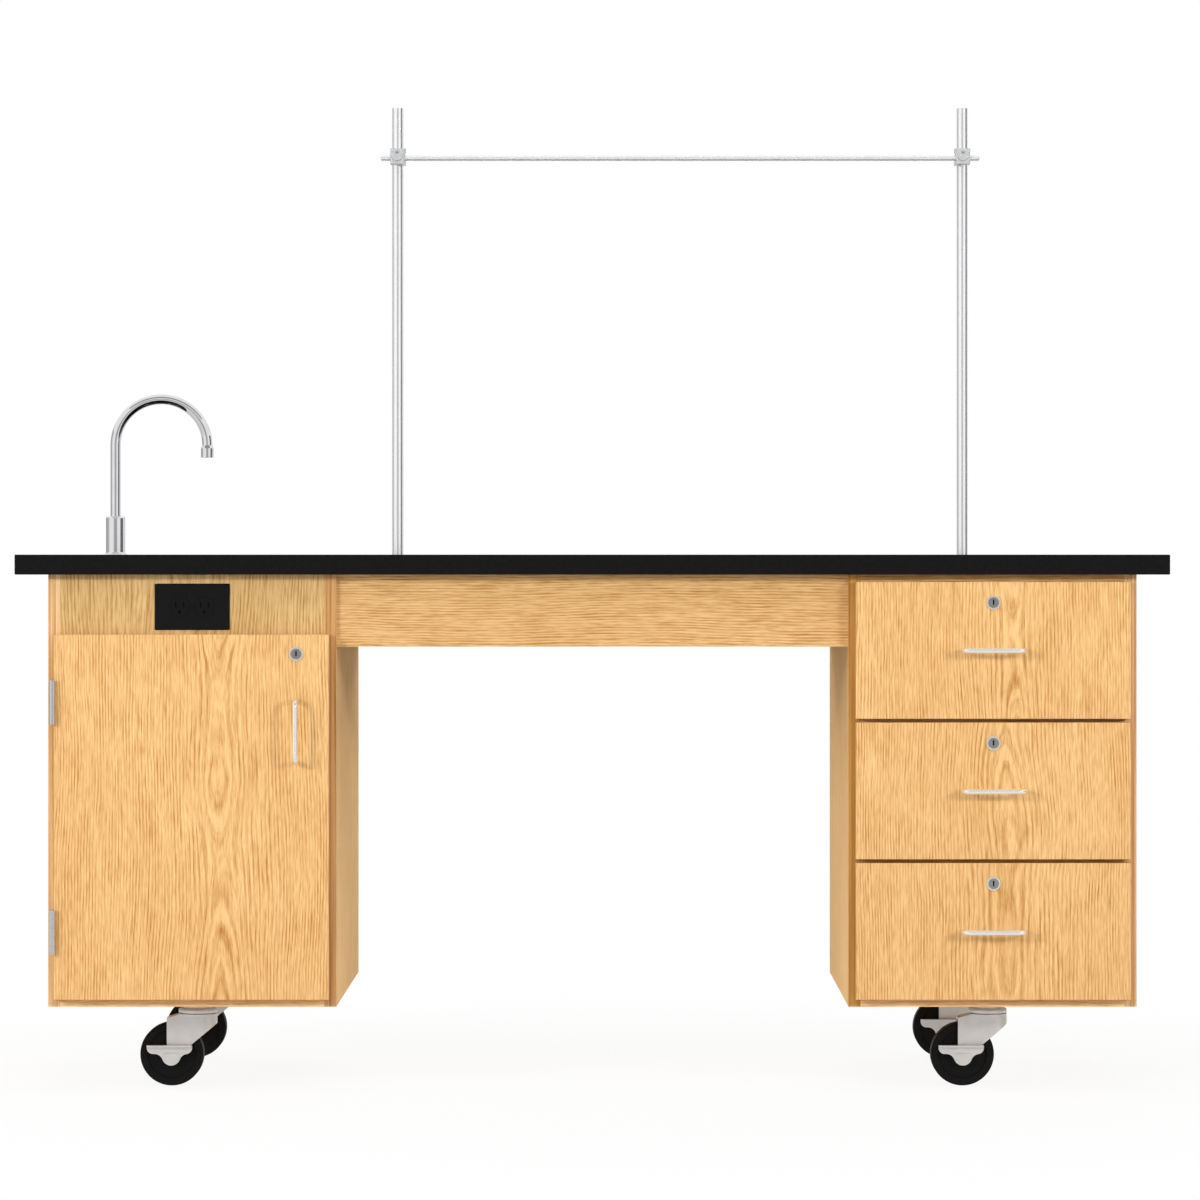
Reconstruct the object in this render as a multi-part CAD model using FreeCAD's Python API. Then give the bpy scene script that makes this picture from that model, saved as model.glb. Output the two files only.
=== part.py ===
import FreeCAD, Part
import math
import os

# Mobile lab station: an oak table on four casters, with a sink and a gooseneck tap,
# a power outlet, a locking door, three locking drawers and a rod frame on the worktop.
# Millimetres. X runs to the viewer's right, Y away from the viewer and Z up.
# The origin is on the floor, under the middle of the whole.

os.makedirs("parts", exist_ok=True)
V = FreeCAD.Vector

# Fits that many pieces share
running_fit = 0.1
same_point = 0.001
loose_fit = 0.3
screw_fit = 0.15
overrun = 6.0

# Worktop and cases
top_width = 1828.8
top_depth = 762.0
top_thick = 31.75
top_edge_round = 1.6
case_width = 457.2
case_height = 685.8
side_overhang = 50.8
front_overhang = 25.4
back_overhang = 25.4
board = 19.05
back_board = 12.7
front_gap = 3.0
front_arris = 0.6
knee_apron_height = 114.3
knee_apron_inset = 6.0

# Door and panel above it
side_reveal = 11.0
bottom_reveal = 12.7
door_top_drop = 95.0
panel_lap = 10.0
door_lock_from_right = 51.5
door_lock_drop = 30.6
door_pull_drop = 153.0

# Drawers
drawer_count = 3
drawer_top_reveal = 11.7
drawer_gap = 6.0
drawer_lock_drop = 32.5
drawer_depth = 500.0
drawer_board = 12.7
drawer_bottom = 6.0
drawer_groove = 6.0
drawer_bottom_rise = 9.0
drawer_top_clear = 19.5
drawer_bottom_clear = 20.0
rail_height = 30.0

# Drawer runners
runner_gap = 12.7
runner_sheet = 1.2
runner_height = 34.0
runner_lip = 5.5
runner_drop = 5.0
runner_length = 480.0
runner_set_back = 4.0
roller_radius = 9.0
roller_width = 7.0
roller_inset = 16.0
roller_round = 1.1
slide_flange = 8.4
slide_height = 25.2

# Pulls
pull_wire = 8.0
pull_span = 98.0
pull_projection = 33.0
pull_bend = 12.0
pull_screw = 4.0
pull_head = 8.0
pull_head_thick = 2.4

# Cam locks
bezel_diameter = 22.6
bezel_thick = 2.4
bezel_round = 0.9
barrel_diameter = 17.0
plug_face_diameter = 16.6
plug_face_thick = 1.6
plug_proud = 0.4
plug_stem_diameter = 11.0
keyhole_width = 2.5
keyhole_height = 9.0
keyhole_depth = 5.0
keyhole_rise = 0.6
keyhole_round = 1.1
lock_nut_diameter = 24.0
lock_nut_thick = 4.0
lock_play = 1.0
cam_thick = 2.4
cam_width = 14.0
cam_reach = 30.0
cam_hub_round = 6.8
cam_tip_round = 4.2
cam_screw_thick = 2.5
cam_screw_diameter = 9.0

# Door hinges
hinge_height = 70.0
hinge_end_distance = 107.0
hinge_axis_inset = 9.2
hinge_axis_proud = 5.5
knuckle_diameter = 10.0
knuckle_count = 5
hinge_pin = 4.0
hinge_leaf = 1.3
hinge_leaf_reach = 28.0
hinge_strip_offset = 1.5

# Casters
caster_height = 135.0
caster_from_case_front = 114.3
wheel_diameter = 101.6
wheel_width = 31.75
wheel_edge_round = 3.0
wheel_hub_radius = 17.0
wheel_dish = 3.0
wheel_dish_radius = 39.0
caster_trail = 41.0
caster_plate_length = 92.0
caster_plate_width = 68.0
caster_plate_thick = 3.0
caster_plate_corner = 8.0
raceway_diameter = 62.5
raceway_height = 16.0
raceway_bead = 4.2
raceway_under_round = 1.9
raceway_side_round = 3.8
crown_thick = 3.2
crown_gap = 0.6
kingpin_diameter = 12.0
kingpin_nut_width = 19.0
kingpin_nut_thick = 8.0
lag_diameter = 8.0
lag_head_width = 13.0
lag_head_thick = 4.0
lag_depth = 16.0
lag_spacing_x = 72.0
lag_spacing_y = 48.0
fork_sheet = 3.0
fork_round_share = 0.995
fork_side_gap = 2.4
fork_front = 48.6
fork_back = 31.2
fork_front_height = 106.0
fork_skirt_height = 99.6
fork_slope = 26.0
axle_diameter = 10.0
axle_boss_radius = 13.0
axle_nut_width = 16.0
axle_head_diameter = 16.0
axle_head_thick = 4.0
axle_head_round = 1.0
axle_neck_diameter = 12.4
axle_neck_thick = 1.8
axle_nut_thick = 7.0

# Caster brake pedals
brake_sheet = 2.5
brake_width = 72.6
brake_ahead = 2.8
brake_top = 15.3
brake_wing_drop = 14.1
brake_wing_round = 9.6
brake_throat_round = 14.0
brake_lobe_drop = 17.4
brake_lobe_radius = 14.8
brake_tread = 9.0
brake_tread_round = 5.4
brake_tongue_width = 24.0
brake_tongue_top = 1.8
brake_tongue_drop = 13.6
brake_tongue_round = 11.8
brake_tongue_proud = 1.2
brake_slit_height = 1.7
brake_slit_width = 20.4
brake_slit_depth = 1.3
brake_collar_wall = 2.0

# Rod frame
rod_diameter = 19.05
rod_height = 762.0
rod_chamfer = 1.5
rod_row_from_back = 152.4
left_rod_from_case = 73.0
right_rod_from_end = 288.0
socket_seat = 45.0
socket_depth = 60.0
socket_diameter = 28.0
socket_flange_diameter = 38.0
socket_flange_thick = 2.5
socket_nut_width = 41.0
socket_nut_thick = 9.0
bar_diameter = 9.5
bar_drop = 87.2
bar_overhang = 28.0
bar_chamfer = 1.2
clamp_width = 24.0
clamp_height = 25.8
clamp_rise = 3.1
clamp_web = 2.2
clamp_wall = 4.0
clamp_round = 3.0
clamp_lug = 2.6
clamp_lug_height = 7.0
clamp_lug_depth = 14.0
clamp_boss_diameter = 19.6
clamp_boss_thick = 1.6
clamp_boss_round = 1.1
clamp_boss_rise = 1.4
clamp_screw = 6.0
clamp_screw_rise = 8.9
clamp_screw_sunk = 0.4
clamp_screw_round = 0.6
clamp_key_width = 3.0
clamp_key_depth = 3.2

# Tap
tap_from_end = 101.0
tap_flange_diameter = 45.5
tap_flange_rim = 1.4
tap_spot_face = 0.5
tap_flange_sweep = 5.4
tap_body_diameter = 32.6
tap_body_height = 67.0
tap_body_round = 3.5
tap_shank_diameter = 20.0
tap_shank_length = 34.0
tap_nut_width = 34.0
tap_nut_thick = 8.0
spout_diameter = 17.1
spout_seat = 22.0
spout_arc_height = 188.0
spout_arc_radius = 78.0
aerator_diameter = 21.5
aerator_height = 20.5
aerator_taper = 5.0
aerator_recess = 3.0
aerator_wall = 2.5

# Sink
sink_from_end = 287.0
sink_from_backs = 14.1
sink_width = 254.0
sink_length = 381.0
sink_depth = 190.0
sink_wall = 6.0
sink_flange = 18.0
sink_corner = 26.0
sink_floor_round = 18.0
drain_hole = 45.0
drain_flange = 60.0
drain_flange_thick = 2.0
drain_body_height = 30.0
drain_nut = 62.0
drain_nut_thick = 9.0
tailpiece = 32.0
tailpiece_length = 24.0
drain_wall = 2.0
strainer_holes = 8
strainer_hole = 5.0
strainer_ring = 26.0
strainer_drop = 2.5
strainer_thick = 1.5

# Water tanks and hoses
tank_width = 180.0
tank_length = 260.0
tank_height = 300.0
tank_round = 20.0
tank_edge_round = 14.0
tank_gap = 12.0
tank_neck = 50.0
tank_neck_height = 14.0
tank_neck_offset = 45.0
tank_cap = 58.0
tank_cap_height = 16.0
tank_cap_round = 3.2
tank_handle_length = 110.0
tank_handle_height = 30.0
tank_handle_bar = 11.0
tank_handle_round = 11.0
tank_handle_width = 22.0
tank_handle_shift = 36.0
supply_hose = 12.0
supply_bend = 45.0
supply_drop = 170.0
supply_rise = 56.0
drain_hose = 30.0
drain_bend = 40.0
drain_run = 24.0

# Outlet and cord gland
outlet_plate_width = 119.2
outlet_plate_height = 73.5
outlet_plate_thick = 3.0
outlet_plate_bevel = 2.0
outlet_plate_chamfer = 1.6
outlet_drop = 51.0
outlet_from_case_side = 228.6
outlet_spacing = 39.2
outlet_face_radius = 17.0
outlet_face_flat = 14.2
outlet_face_gap = 0.3
outlet_face_proud = 0.4
outlet_screw = 7.0
outlet_screw_head = 1.0
outlet_screw_shank = 3.5
outlet_screw_slot = 1.2
outlet_body_width = 84.0
outlet_body_height = 38.0
outlet_body_depth = 26.0
outlet_box_width = 98.0
outlet_box_height = 54.0
outlet_box_depth = 60.0
outlet_box_wall = 3.0
outlet_strap_thick = 1.5
outlet_strap_width = 14.2
slot_length = 8.0
slot_width = 2.0
slot_spacing = 12.7
slot_depth = 4.0
slot_rise = 3.0
ground_radius = 2.5
ground_drop = 8.0
gland_from_side = 120.0
gland_height = 110.0
gland_diameter = 20.0
gland_head = 30.0
gland_head_thick = 6.0
gland_dome = 12.0
gland_dome_taper = 1.5
gland_bore = 9.0

# Places that follow from the sizes
case_z = caster_height
top_under = case_z + case_height
top_z = top_under + top_thick
pull_beyond_top = pull_projection + front_gap + board - front_overhang
top_front = (pull_beyond_top - top_depth) / 2
top_back = top_front + top_depth
top_right = top_width / 2
top_left = -top_right
case_front = top_front + front_overhang
case_back = top_back - back_overhang
left_case = (top_left + side_overhang, top_left + side_overhang + case_width)
right_case = (top_right - side_overhang - case_width, top_right - side_overhang)
front_back = case_front - front_gap
front_face = front_back - board
floor_z = case_z + board
inner_back = case_back - back_board
row_y = top_back - rod_row_from_back
sink_x = top_left + sink_from_end
sink_y = inner_back - sink_from_backs - sink_flange - sink_wall - sink_length / 2
tap_x = top_left + tap_from_end

# Ways to lay a flat outline in the space
from_above = FreeCAD.Rotation()
from_front = FreeCAD.Rotation(V(1, 0, 0), 90)
from_side = FreeCAD.Rotation(V(1, 1, 1), 120)
from_back = FreeCAD.Rotation(V(1, 0, 0), -90)


def box(x_range, y_range, z_range):
    """A board that fills three ranges."""
    sizes = [high - low for low, high in (x_range, y_range, z_range)]
    return Part.makeBox(*sizes, V(x_range[0], y_range[0], z_range[0]))


def ordered(first, second):
    """Two values as a rising range."""
    return (min(first, second), max(first, second))


def outline(corners):
    """A closed wire through (x, y) or (x, y, radius) corners, rounded where a radius is given."""
    points = [V(corner[0], corner[1], 0) for corner in corners]
    radii = [corner[2] if len(corner) > 2 else 0 for corner in corners]
    count = len(points)
    edges = []
    starts = []
    ends = []
    for index, point in enumerate(points):
        before = (points[index - 1] - point).normalize()
        after = (points[(index + 1) % count] - point).normalize()
        half = before.getAngle(after) / 2
        radius = radii[index]
        if radius > 0:
            setback = radius / math.tan(half)
            centre = point + (before + after).normalize() * (radius / math.sin(half))
            middle = centre + (point - centre).normalize() * radius
            start = point + before * setback
            end = point + after * setback
            edges.append((index, Part.Arc(start, middle, end).toShape()))
        else:
            start = point
            end = point
        starts.append(start)
        ends.append(end)
    wire = []
    arcs = dict(edges)
    for index in range(count):
        if index in arcs:
            wire.append(arcs[index])
        following = starts[(index + 1) % count]
        if ends[index].distanceToPoint(following) > same_point:
            wire.append(Part.makeLine(ends[index], following))
    return Part.Wire(wire)


def rectangle(width, height, corner=0, centre=(0, 0)):
    """The corners of a rectangle, with one radius for all of them."""
    x, y = centre
    signs = ((-1, -1), (1, -1), (1, 1), (-1, 1))
    return [(x + sx * width / 2, y + sy * height / 2, corner) for sx, sy in signs]


def prism(corners, thick, at, turn=from_above):
    """An outline grown along its own Z, laid at a place by a turn."""
    solid = Part.Face(outline(corners)).extrude(V(0, 0, thick))
    solid.Placement = FreeCAD.Placement(V(*at), turn)
    return solid


def turned(profile, at, turn=from_above):
    """A solid of revolution from (radius, height) corners, its axis laid by a turn."""
    face = Part.Face(outline(profile))
    face.rotate(V(0, 0, 0), V(1, 0, 0), 90)
    solid = face.revolve(V(0, 0, 0), V(0, 0, 1), 360)
    solid.Placement = FreeCAD.Placement(V(*at), turn)
    return solid


def rod(radius, length, at, turn=from_above):
    """A round bar along the turned Z axis."""
    solid = Part.makeCylinder(radius, length)
    solid.Placement = FreeCAD.Placement(V(*at), turn)
    return solid


def hexagon(width, thick, at, turn=from_above, bore=0):
    """A hexagon bar of a width across its flats, with a round hole if a bore is given."""
    corner = width / math.sqrt(3)
    angles = [math.radians(60 * side) for side in range(6)]
    solid = prism([(corner * math.cos(a), corner * math.sin(a)) for a in angles], thick, at, turn)
    if bore > 0:
        solid = solid.cut(rod(bore, thick, at, turn))
    return solid


def bent_rod(points, bend, radius):
    """A round bar along straight runs joined by arcs of one radius."""
    places = [V(*point) for point in points]
    runs = []
    last = places[0]
    for before, corner, after in zip(places, places[1:], places[2:]):
        back = (before - corner).normalize()
        ahead = (after - corner).normalize()
        half = back.getAngle(ahead) / 2
        setback = bend / math.tan(half)
        start = corner + back * setback
        end = corner + ahead * setback
        centre = corner + (back + ahead).normalize() * (bend / math.sin(half))
        middle = centre + (corner - centre).normalize() * bend
        if last.distanceToPoint(start) > running_fit:
            runs.append(Part.makeLine(last, start))
        runs.append(Part.Arc(start, middle, end).toShape())
        last = end
    runs.append(Part.makeLine(last, places[-1]))
    ring = Part.Wire(Part.makeCircle(radius, places[0], places[1] - places[0]))
    return Part.Wire(runs).makePipeShell([ring], True, False)


def save(node, *pieces):
    """Writes the pieces of one node, each as its own solid."""
    shape = pieces[0] if len(pieces) == 1 else Part.makeCompound(list(pieces))
    shape.exportStep("parts/" + node + ".step")


# Worktop with its openings for the sink, the tap and the rod sockets
def make_worktop():
    slab = box((top_left, top_right), (top_front, top_back), (top_under, top_z))
    slab = slab.makeFillet(top_edge_round, slab.Edges)
    opening = rectangle(sink_width, sink_length, sink_corner, (sink_x, sink_y))
    slab = slab.cut(prism(opening, top_thick + 2 * overrun, (0, 0, top_under - overrun)))
    shank_hole = tap_shank_diameter / 2 + loose_fit
    slab = slab.cut(rod(shank_hole, top_thick + 2 * overrun, (tap_x, row_y, top_under - overrun)))
    spot_face = tap_flange_diameter / 2 + loose_fit
    slab = slab.cut(rod(spot_face, tap_spot_face + overrun, (tap_x, row_y, top_z - tap_spot_face)))
    for x in rod_places:
        socket_hole = socket_diameter / 2 + screw_fit
        slab = slab.cut(rod(socket_hole, top_thick + overrun, (x, row_y, top_under - overrun)))
        recess = socket_flange_diameter / 2 + screw_fit
        recess_z = top_z - socket_flange_thick
        slab = slab.cut(rod(recess, socket_flange_thick + overrun, (x, row_y, recess_z)))
    save("worktop", slab)


# Boards of the two cases
def inner(case):
    """The range of X between the two sides of a case."""
    return (case[0] + board, case[1] - board)


def make_cases():
    depth = (case_front, case_back)
    height = (case_z, top_under)
    for name, case in (("left", left_case), ("right", right_case)):
        outer_side = box((case[0], case[0] + board), depth, height)
        inner_side = box((case[1] - board, case[1]), depth, height)
        save(name + "_cabinet_sides", outer_side, inner_side)
    bottoms = []
    backs = []
    for case in (left_case, right_case):
        bottom = box(inner(case), (case_front, inner_back), (case_z, floor_z))
        for x, y in lag_places(case):
            pilot = lag_diameter / 2 + screw_fit
            bottom = bottom.cut(rod(pilot, lag_depth + overrun, (x, y, case_z - overrun)))
        bottoms.append(bottom)
        backs.append(box(inner(case), (inner_back, case_back), height))
    gland_radius = gland_diameter / 2 + screw_fit
    gland_hole = rod(gland_radius, back_board + 2 * overrun, gland_seat(-overrun), from_back)
    backs[0] = backs[0].cut(gland_hole)
    save("cabinet_bottoms", *bottoms)
    save("cabinet_backs", *backs)


def make_front_panel():
    panel = box(inner(left_case), (case_front, case_front + board), (door_top - panel_lap, top_under))
    width = outlet_box_width + 2 * loose_fit
    height = outlet_box_height + 2 * loose_fit
    at = (outlet_x, case_front + board + overrun, outlet_z)
    panel = panel.cut(prism(rectangle(width, height), board + 2 * overrun, at, from_front))
    save("left_cabinet_front_panel", panel)


def make_rails():
    rails = []
    for number in range(drawer_count):
        if number == 0:
            top = top_under
        else:
            top = drawer_top(number) + drawer_gap / 2 + rail_height / 2
        height = (top - rail_height, top)
        rails.append(box(inner(right_case), (case_front, case_front + board), height))
    save("right_cabinet_rails", *rails)


def make_knee_aprons():
    width = (left_case[1], right_case[0])
    height = (top_under - knee_apron_height, top_under)
    front = case_front + knee_apron_inset
    back = case_back - knee_apron_inset
    save("knee_aprons",
         box(width, (front, front + board), height),
         box(width, (back - board, back), height))


# Wire pulls, held by two screws from behind
def pull_pieces(x, z, upright, screw_depth):
    """A bent wire pull and its two screws, which end where the pull's feet stand."""
    reach = pull_projection - pull_wire / 2
    half = pull_span / 2
    step = V(0, 0, half) if upright else V(half, 0, 0)
    foot = V(x, front_face, z)
    out = V(0, -reach, 0)
    path = [foot - step, foot - step + out, foot + step + out, foot + step]
    pieces = [bent_rod(path, pull_bend, pull_wire / 2)]
    for side in (-1, 1):
        end = foot + step * side
        shank = rod(pull_screw / 2, screw_depth, end, from_back)
        head_at = (end.x, front_face + screw_depth, end.z)
        profile = ((0, 0), (pull_head / 2, 0), (pull_head / 2, pull_head_thick, pull_head_thick / 2),
                   (0, pull_head_thick))
        pieces.append(shank.fuse(turned(profile, head_at, from_back)).removeSplitter())
    return pieces


def pull_holes(x, z, upright):
    """The cutting tools for a pull's two screws."""
    half = pull_span / 2
    step = V(0, 0, half) if upright else V(half, 0, 0)
    radius = pull_screw / 2 + screw_fit
    length = board + drawer_board + 2 * overrun
    foot = V(x, front_face - overrun, z)
    return [rod(radius, length, foot + step * side, from_back) for side in (-1, 1)]


# Cam locks: the cam swings up behind the rail or panel above
cam_y = case_front + board + lock_play


def lock_hole(x, z):
    """The cutting tool for a lock's barrel."""
    length = board + drawer_board + 2 * overrun
    return rod(barrel_diameter / 2 + screw_fit, length, (x, front_face - overrun, z), from_back)


def lock_barrel(x, z, nut_y):
    """The bezel and barrel, with the nut that draws them against the wood."""
    bore = plug_stem_diameter / 2 + running_fit
    recess = plug_face_diameter / 2 + running_fit
    recess_depth = plug_face_thick - plug_proud
    length = bezel_thick + cam_y - front_face - loose_fit
    rim = bezel_diameter / 2
    body = barrel_diameter / 2
    profile = ((recess, 0), (rim, 0, bezel_round), (rim, bezel_thick), (body, bezel_thick),
               (body, length), (bore, length), (bore, recess_depth), (recess, recess_depth))
    barrel = turned(profile, (x, front_face - bezel_thick, z), from_back)
    nut = rod(lock_nut_diameter / 2, lock_nut_thick, (x, nut_y, z), from_back)
    nut = nut.cut(rod(body + screw_fit, lock_nut_thick, (x, nut_y, z), from_back))
    return [barrel, nut]


def lock_plug(x, z):
    """The plug with its keyhole, the cam on its stem and the screw that holds the cam."""
    face_y = front_face - bezel_thick - plug_proud
    stem_end = cam_y + cam_thick + loose_fit
    stem = plug_stem_diameter / 2
    profile = ((0, 0), (plug_face_diameter / 2, 0), (plug_face_diameter / 2, plug_face_thick),
               (stem, plug_face_thick), (stem, stem_end - face_y), (0, stem_end - face_y))
    plug = turned(profile, (x, face_y, z), from_back)
    keyhole = rectangle(keyhole_width, keyhole_height, keyhole_round, (0, keyhole_rise))
    plug = plug.cut(prism(keyhole, keyhole_depth + overrun, (x, face_y + keyhole_depth, z), from_front))
    half = cam_width / 2
    cam_corners = ((-half, -half, cam_hub_round), (cam_reach, -half, cam_tip_round),
                   (cam_reach, half, cam_tip_round), (-half, half, cam_hub_round))
    cam = prism(cam_corners, cam_thick, (x, cam_y + cam_thick, z), from_front)
    cam = cam.cut(rod(stem + running_fit, cam_thick, (x, cam_y, z), from_back))
    screw = rod(cam_screw_diameter / 2, cam_screw_thick, (x, stem_end, z), from_back)
    return [plug, cam, screw]


# Door with its pull, lock and the hinges
door_top = top_under - door_top_drop
door_bottom = case_z + bottom_reveal
door_left = left_case[0] + side_reveal
door_right = left_case[1] - side_reveal
door_lock_at = (door_right - door_lock_from_right, door_top - door_lock_drop)
door_pull_at = (door_right - door_lock_from_right, door_top - door_pull_drop)
hinge_x = left_case[0] + hinge_axis_inset
hinge_y = front_face - hinge_axis_proud
hinge_middles = (door_bottom + hinge_end_distance, door_top - hinge_end_distance)


def overlay_front(x_range, z_range):
    """A board that lies over the front of a case, with its face edges eased."""
    front = box(x_range, (front_face, front_back), z_range)
    face = [edge for edge in front.Edges if edge.BoundBox.YMax < front_face + same_point]
    return front.makeFillet(front_arris, face)


def make_door():
    panel = overlay_front((door_left, door_right), (door_bottom, door_top))
    panel = panel.cut(lock_hole(*door_lock_at))
    for tool in pull_holes(*door_pull_at, True):
        panel = panel.cut(tool)
    save("door_panel", panel)
    save("door_pull", *pull_pieces(*door_pull_at, True, board))
    save("door_lock_barrel", *lock_barrel(*door_lock_at, front_back))
    save("door_lock_plug", *lock_plug(*door_lock_at))


def knuckle_range(bottom, index):
    """The range of Z of one knuckle, counted from the bottom."""
    pitch = hinge_height / knuckle_count
    return (bottom + index * pitch + loose_fit / 2, bottom + (index + 1) * pitch - loose_fit / 2)


def hinge_leaf_solid(sheets, bottom, own):
    """A leaf of folded sheet with its own knuckles, relieved round the other leaf's knuckles."""
    leaf = sheets[0].multiFuse(sheets[1:])
    radius = knuckle_diameter / 2
    for index in range(knuckle_count):
        low, high = knuckle_range(bottom, index)
        if index % 2 == own:
            leaf = leaf.fuse(rod(radius, high - low, (hinge_x, hinge_y, low)))
        else:
            relief = rod(radius + loose_fit, high - low + 2 * loose_fit,
                         (hinge_x, hinge_y, low - loose_fit))
            leaf = leaf.cut(relief)
    bore = rod(hinge_pin / 2 + running_fit / 2, hinge_height, (hinge_x, hinge_y, bottom))
    return leaf.cut(bore).removeSplitter()


def make_hinges():
    case_leaves = []
    door_leaves = []
    inner_face = left_case[0] + board
    strip_right = hinge_x - hinge_strip_offset
    for middle in hinge_middles:
        bottom = middle - hinge_height / 2
        height = (bottom, bottom + hinge_height)
        strip = (strip_right - hinge_leaf, strip_right)
        case_sheets = [
            box(strip, (hinge_y, case_front), height),
            box((strip[0], inner_face + hinge_leaf), (case_front - hinge_leaf, case_front), height),
            box((inner_face, inner_face + hinge_leaf),
                (case_front - hinge_leaf, case_front + hinge_leaf_reach), height)]
        door_sheets = [
            box((door_left - hinge_leaf, door_left), (hinge_y, front_back + hinge_leaf), height),
            box((door_left - hinge_leaf, door_left + hinge_leaf_reach),
                (front_back, front_back + hinge_leaf), height)]
        case_leaves.append(hinge_leaf_solid(case_sheets, bottom, 0))
        door_leaves.append(hinge_leaf_solid(door_sheets, bottom, 1))
        case_leaves.append(rod(hinge_pin / 2, hinge_height, (hinge_x, hinge_y, bottom)))
    save("hinge_case_leaves", *case_leaves)
    save("hinge_door_leaves", *door_leaves)


# Drawers: an overlaid front, a box with a grooved-in bottom, and roller runners
fronts_height = case_height - drawer_top_reveal - bottom_reveal
drawer_height = (fronts_height - (drawer_count - 1) * drawer_gap) / drawer_count
drawer_x = (right_case[0] + side_reveal, right_case[1] - side_reveal)
drawer_middle = (right_case[0] + right_case[1]) / 2
box_x = (inner(right_case)[0] + runner_gap, inner(right_case)[1] - runner_gap)
box_y = (front_back, front_back + drawer_depth)


def drawer_top(number):
    """The top of a drawer's front; number 0 is the uppermost."""
    return top_under - drawer_top_reveal - number * (drawer_height + drawer_gap)


def make_drawer_front(number, name):
    top = drawer_top(number)
    bottom = top - drawer_height
    lock_at = (drawer_middle, top - drawer_lock_drop)
    pull_at = (drawer_middle, (top + bottom) / 2)
    front = overlay_front(drawer_x, (bottom, top))
    front = front.cut(lock_hole(*lock_at))
    for tool in pull_holes(*pull_at, False):
        front = front.cut(tool)
    save(name + "_front", front)
    save(name + "_pull", *pull_pieces(*pull_at, False, board + drawer_board))
    save(name + "_lock_barrel", *lock_barrel(*lock_at, front_back + drawer_board))
    save(name + "_lock_plug", *lock_plug(*lock_at))


def make_drawer_box(number, name):
    top = drawer_top(number) - drawer_top_clear
    bottom = drawer_top(number) - drawer_height + drawer_bottom_clear
    height = (bottom, top)
    inside = (box_x[0] + drawer_board, box_x[1] - drawer_board)
    panel_z = (bottom + drawer_bottom_rise, bottom + drawer_bottom_rise + drawer_bottom)
    reach = drawer_groove - loose_fit
    panel = box((inside[0] - reach, inside[1] + reach),
                (box_y[0] + drawer_board - reach, box_y[1] - drawer_board + reach), panel_z)
    groove = box((inside[0] - drawer_groove, inside[1] + drawer_groove),
                 (box_y[0] + drawer_board - drawer_groove, box_y[1] - drawer_board + drawer_groove),
                 panel_z)
    left = box((box_x[0], inside[0]), box_y, height).cut(groove)
    right = box((inside[1], box_x[1]), box_y, height).cut(groove)
    front = box(inside, (box_y[0], box_y[0] + drawer_board), height).cut(groove)
    back = box(inside, (box_y[1] - drawer_board, box_y[1]), height).cut(groove)
    pull_z = drawer_top(number) - drawer_height / 2
    tools = pull_holes(drawer_middle, pull_z, False)
    tools.append(lock_hole(drawer_middle, drawer_top(number) - drawer_lock_drop))
    for tool in tools:
        front = front.cut(tool)
    save(name + "_box", left, right, front, back, panel)


slide_clear = runner_sheet + loose_fit + running_fit


def runner_base(number):
    """The height at which a drawer's side boards begin."""
    return drawer_top(number) - drawer_height + drawer_bottom_clear


def roller(x, y, z, towards):
    """A nylon roller that turns on a pin along X."""
    start = x if towards > 0 else x - roller_width
    profile = ((0, 0), (roller_radius, 0, roller_round),
               (roller_radius, roller_width, roller_round), (0, roller_width))
    return turned(profile, (start, y, z), from_side)


def make_case_runners():
    pieces = []
    start = case_front + board + runner_set_back
    for number in range(drawer_count):
        base = runner_base(number) - runner_drop
        for wall, inward in ((inner(right_case)[0], 1), (inner(right_case)[1], -1)):
            length = (start, start + runner_length)
            web = ordered(wall, wall + inward * runner_sheet)
            shelf = ordered(wall, wall + inward * (runner_gap - slide_clear))
            lip = ordered(wall, wall + inward * runner_lip)
            channel = box(web, length, (base, base + runner_height))
            channel = channel.fuse(box(shelf, length, (base, base + runner_sheet)))
            upper = (base + runner_height - runner_sheet, base + runner_height)
            channel = channel.fuse(box(lip, length, upper)).removeSplitter()
            wheel_z = runner_base(number) + slide_height - runner_sheet - loose_fit - roller_radius
            wheel_x = wall + inward * runner_sheet
            wheel = roller(wheel_x, start + roller_inset, wheel_z, inward)
            pieces.extend([channel, wheel])
    save("case_runners", *pieces)


def make_drawer_runners(number, name):
    pieces = []
    base = runner_base(number)
    for side, outward in ((box_x[0], -1), (box_x[1], 1)):
        web = ordered(side, side + outward * runner_sheet)
        flange = ordered(side, side + outward * slide_flange)
        upper = (base + slide_height - runner_sheet, base + slide_height)
        angle = box(web, box_y, (base, base + slide_height))
        angle = angle.fuse(box(flange, box_y, upper)).removeSplitter()
        wheel_z = base - runner_drop + runner_sheet + loose_fit + roller_radius
        wheel_y = box_y[1] - roller_radius
        wheel = roller(side + outward * runner_sheet, wheel_y, wheel_z, outward)
        pieces.extend([angle, wheel])
    save(name + "_runners", *pieces)


# Casters
def caster_places():
    """The four swivel axes, by name."""
    front = case_front + caster_from_case_front
    back = case_back - caster_from_case_front
    places = {}
    for side, case in (("left", left_case), ("right", right_case)):
        middle = (case[0] + case[1]) / 2
        places["front_" + side] = (middle, front)
        places["back_" + side] = (middle, back)
    return places


def lag_places(case):
    """Where the screws of a case's two caster plates stand."""
    places = []
    for x, y in caster_places().values():
        if case[0] < x < case[1]:
            for sx in (-1, 1):
                for sy in (-1, 1):
                    places.append((x + sx * lag_spacing_x / 2, y + sy * lag_spacing_y / 2))
    return places


plate_under = case_z - caster_plate_thick
crown_top = case_z - caster_plate_thick - raceway_height - crown_gap
crown_under = crown_top - crown_thick
wheel_z = wheel_diameter / 2
fork_half = wheel_width / 2 + fork_side_gap + fork_sheet


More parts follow.
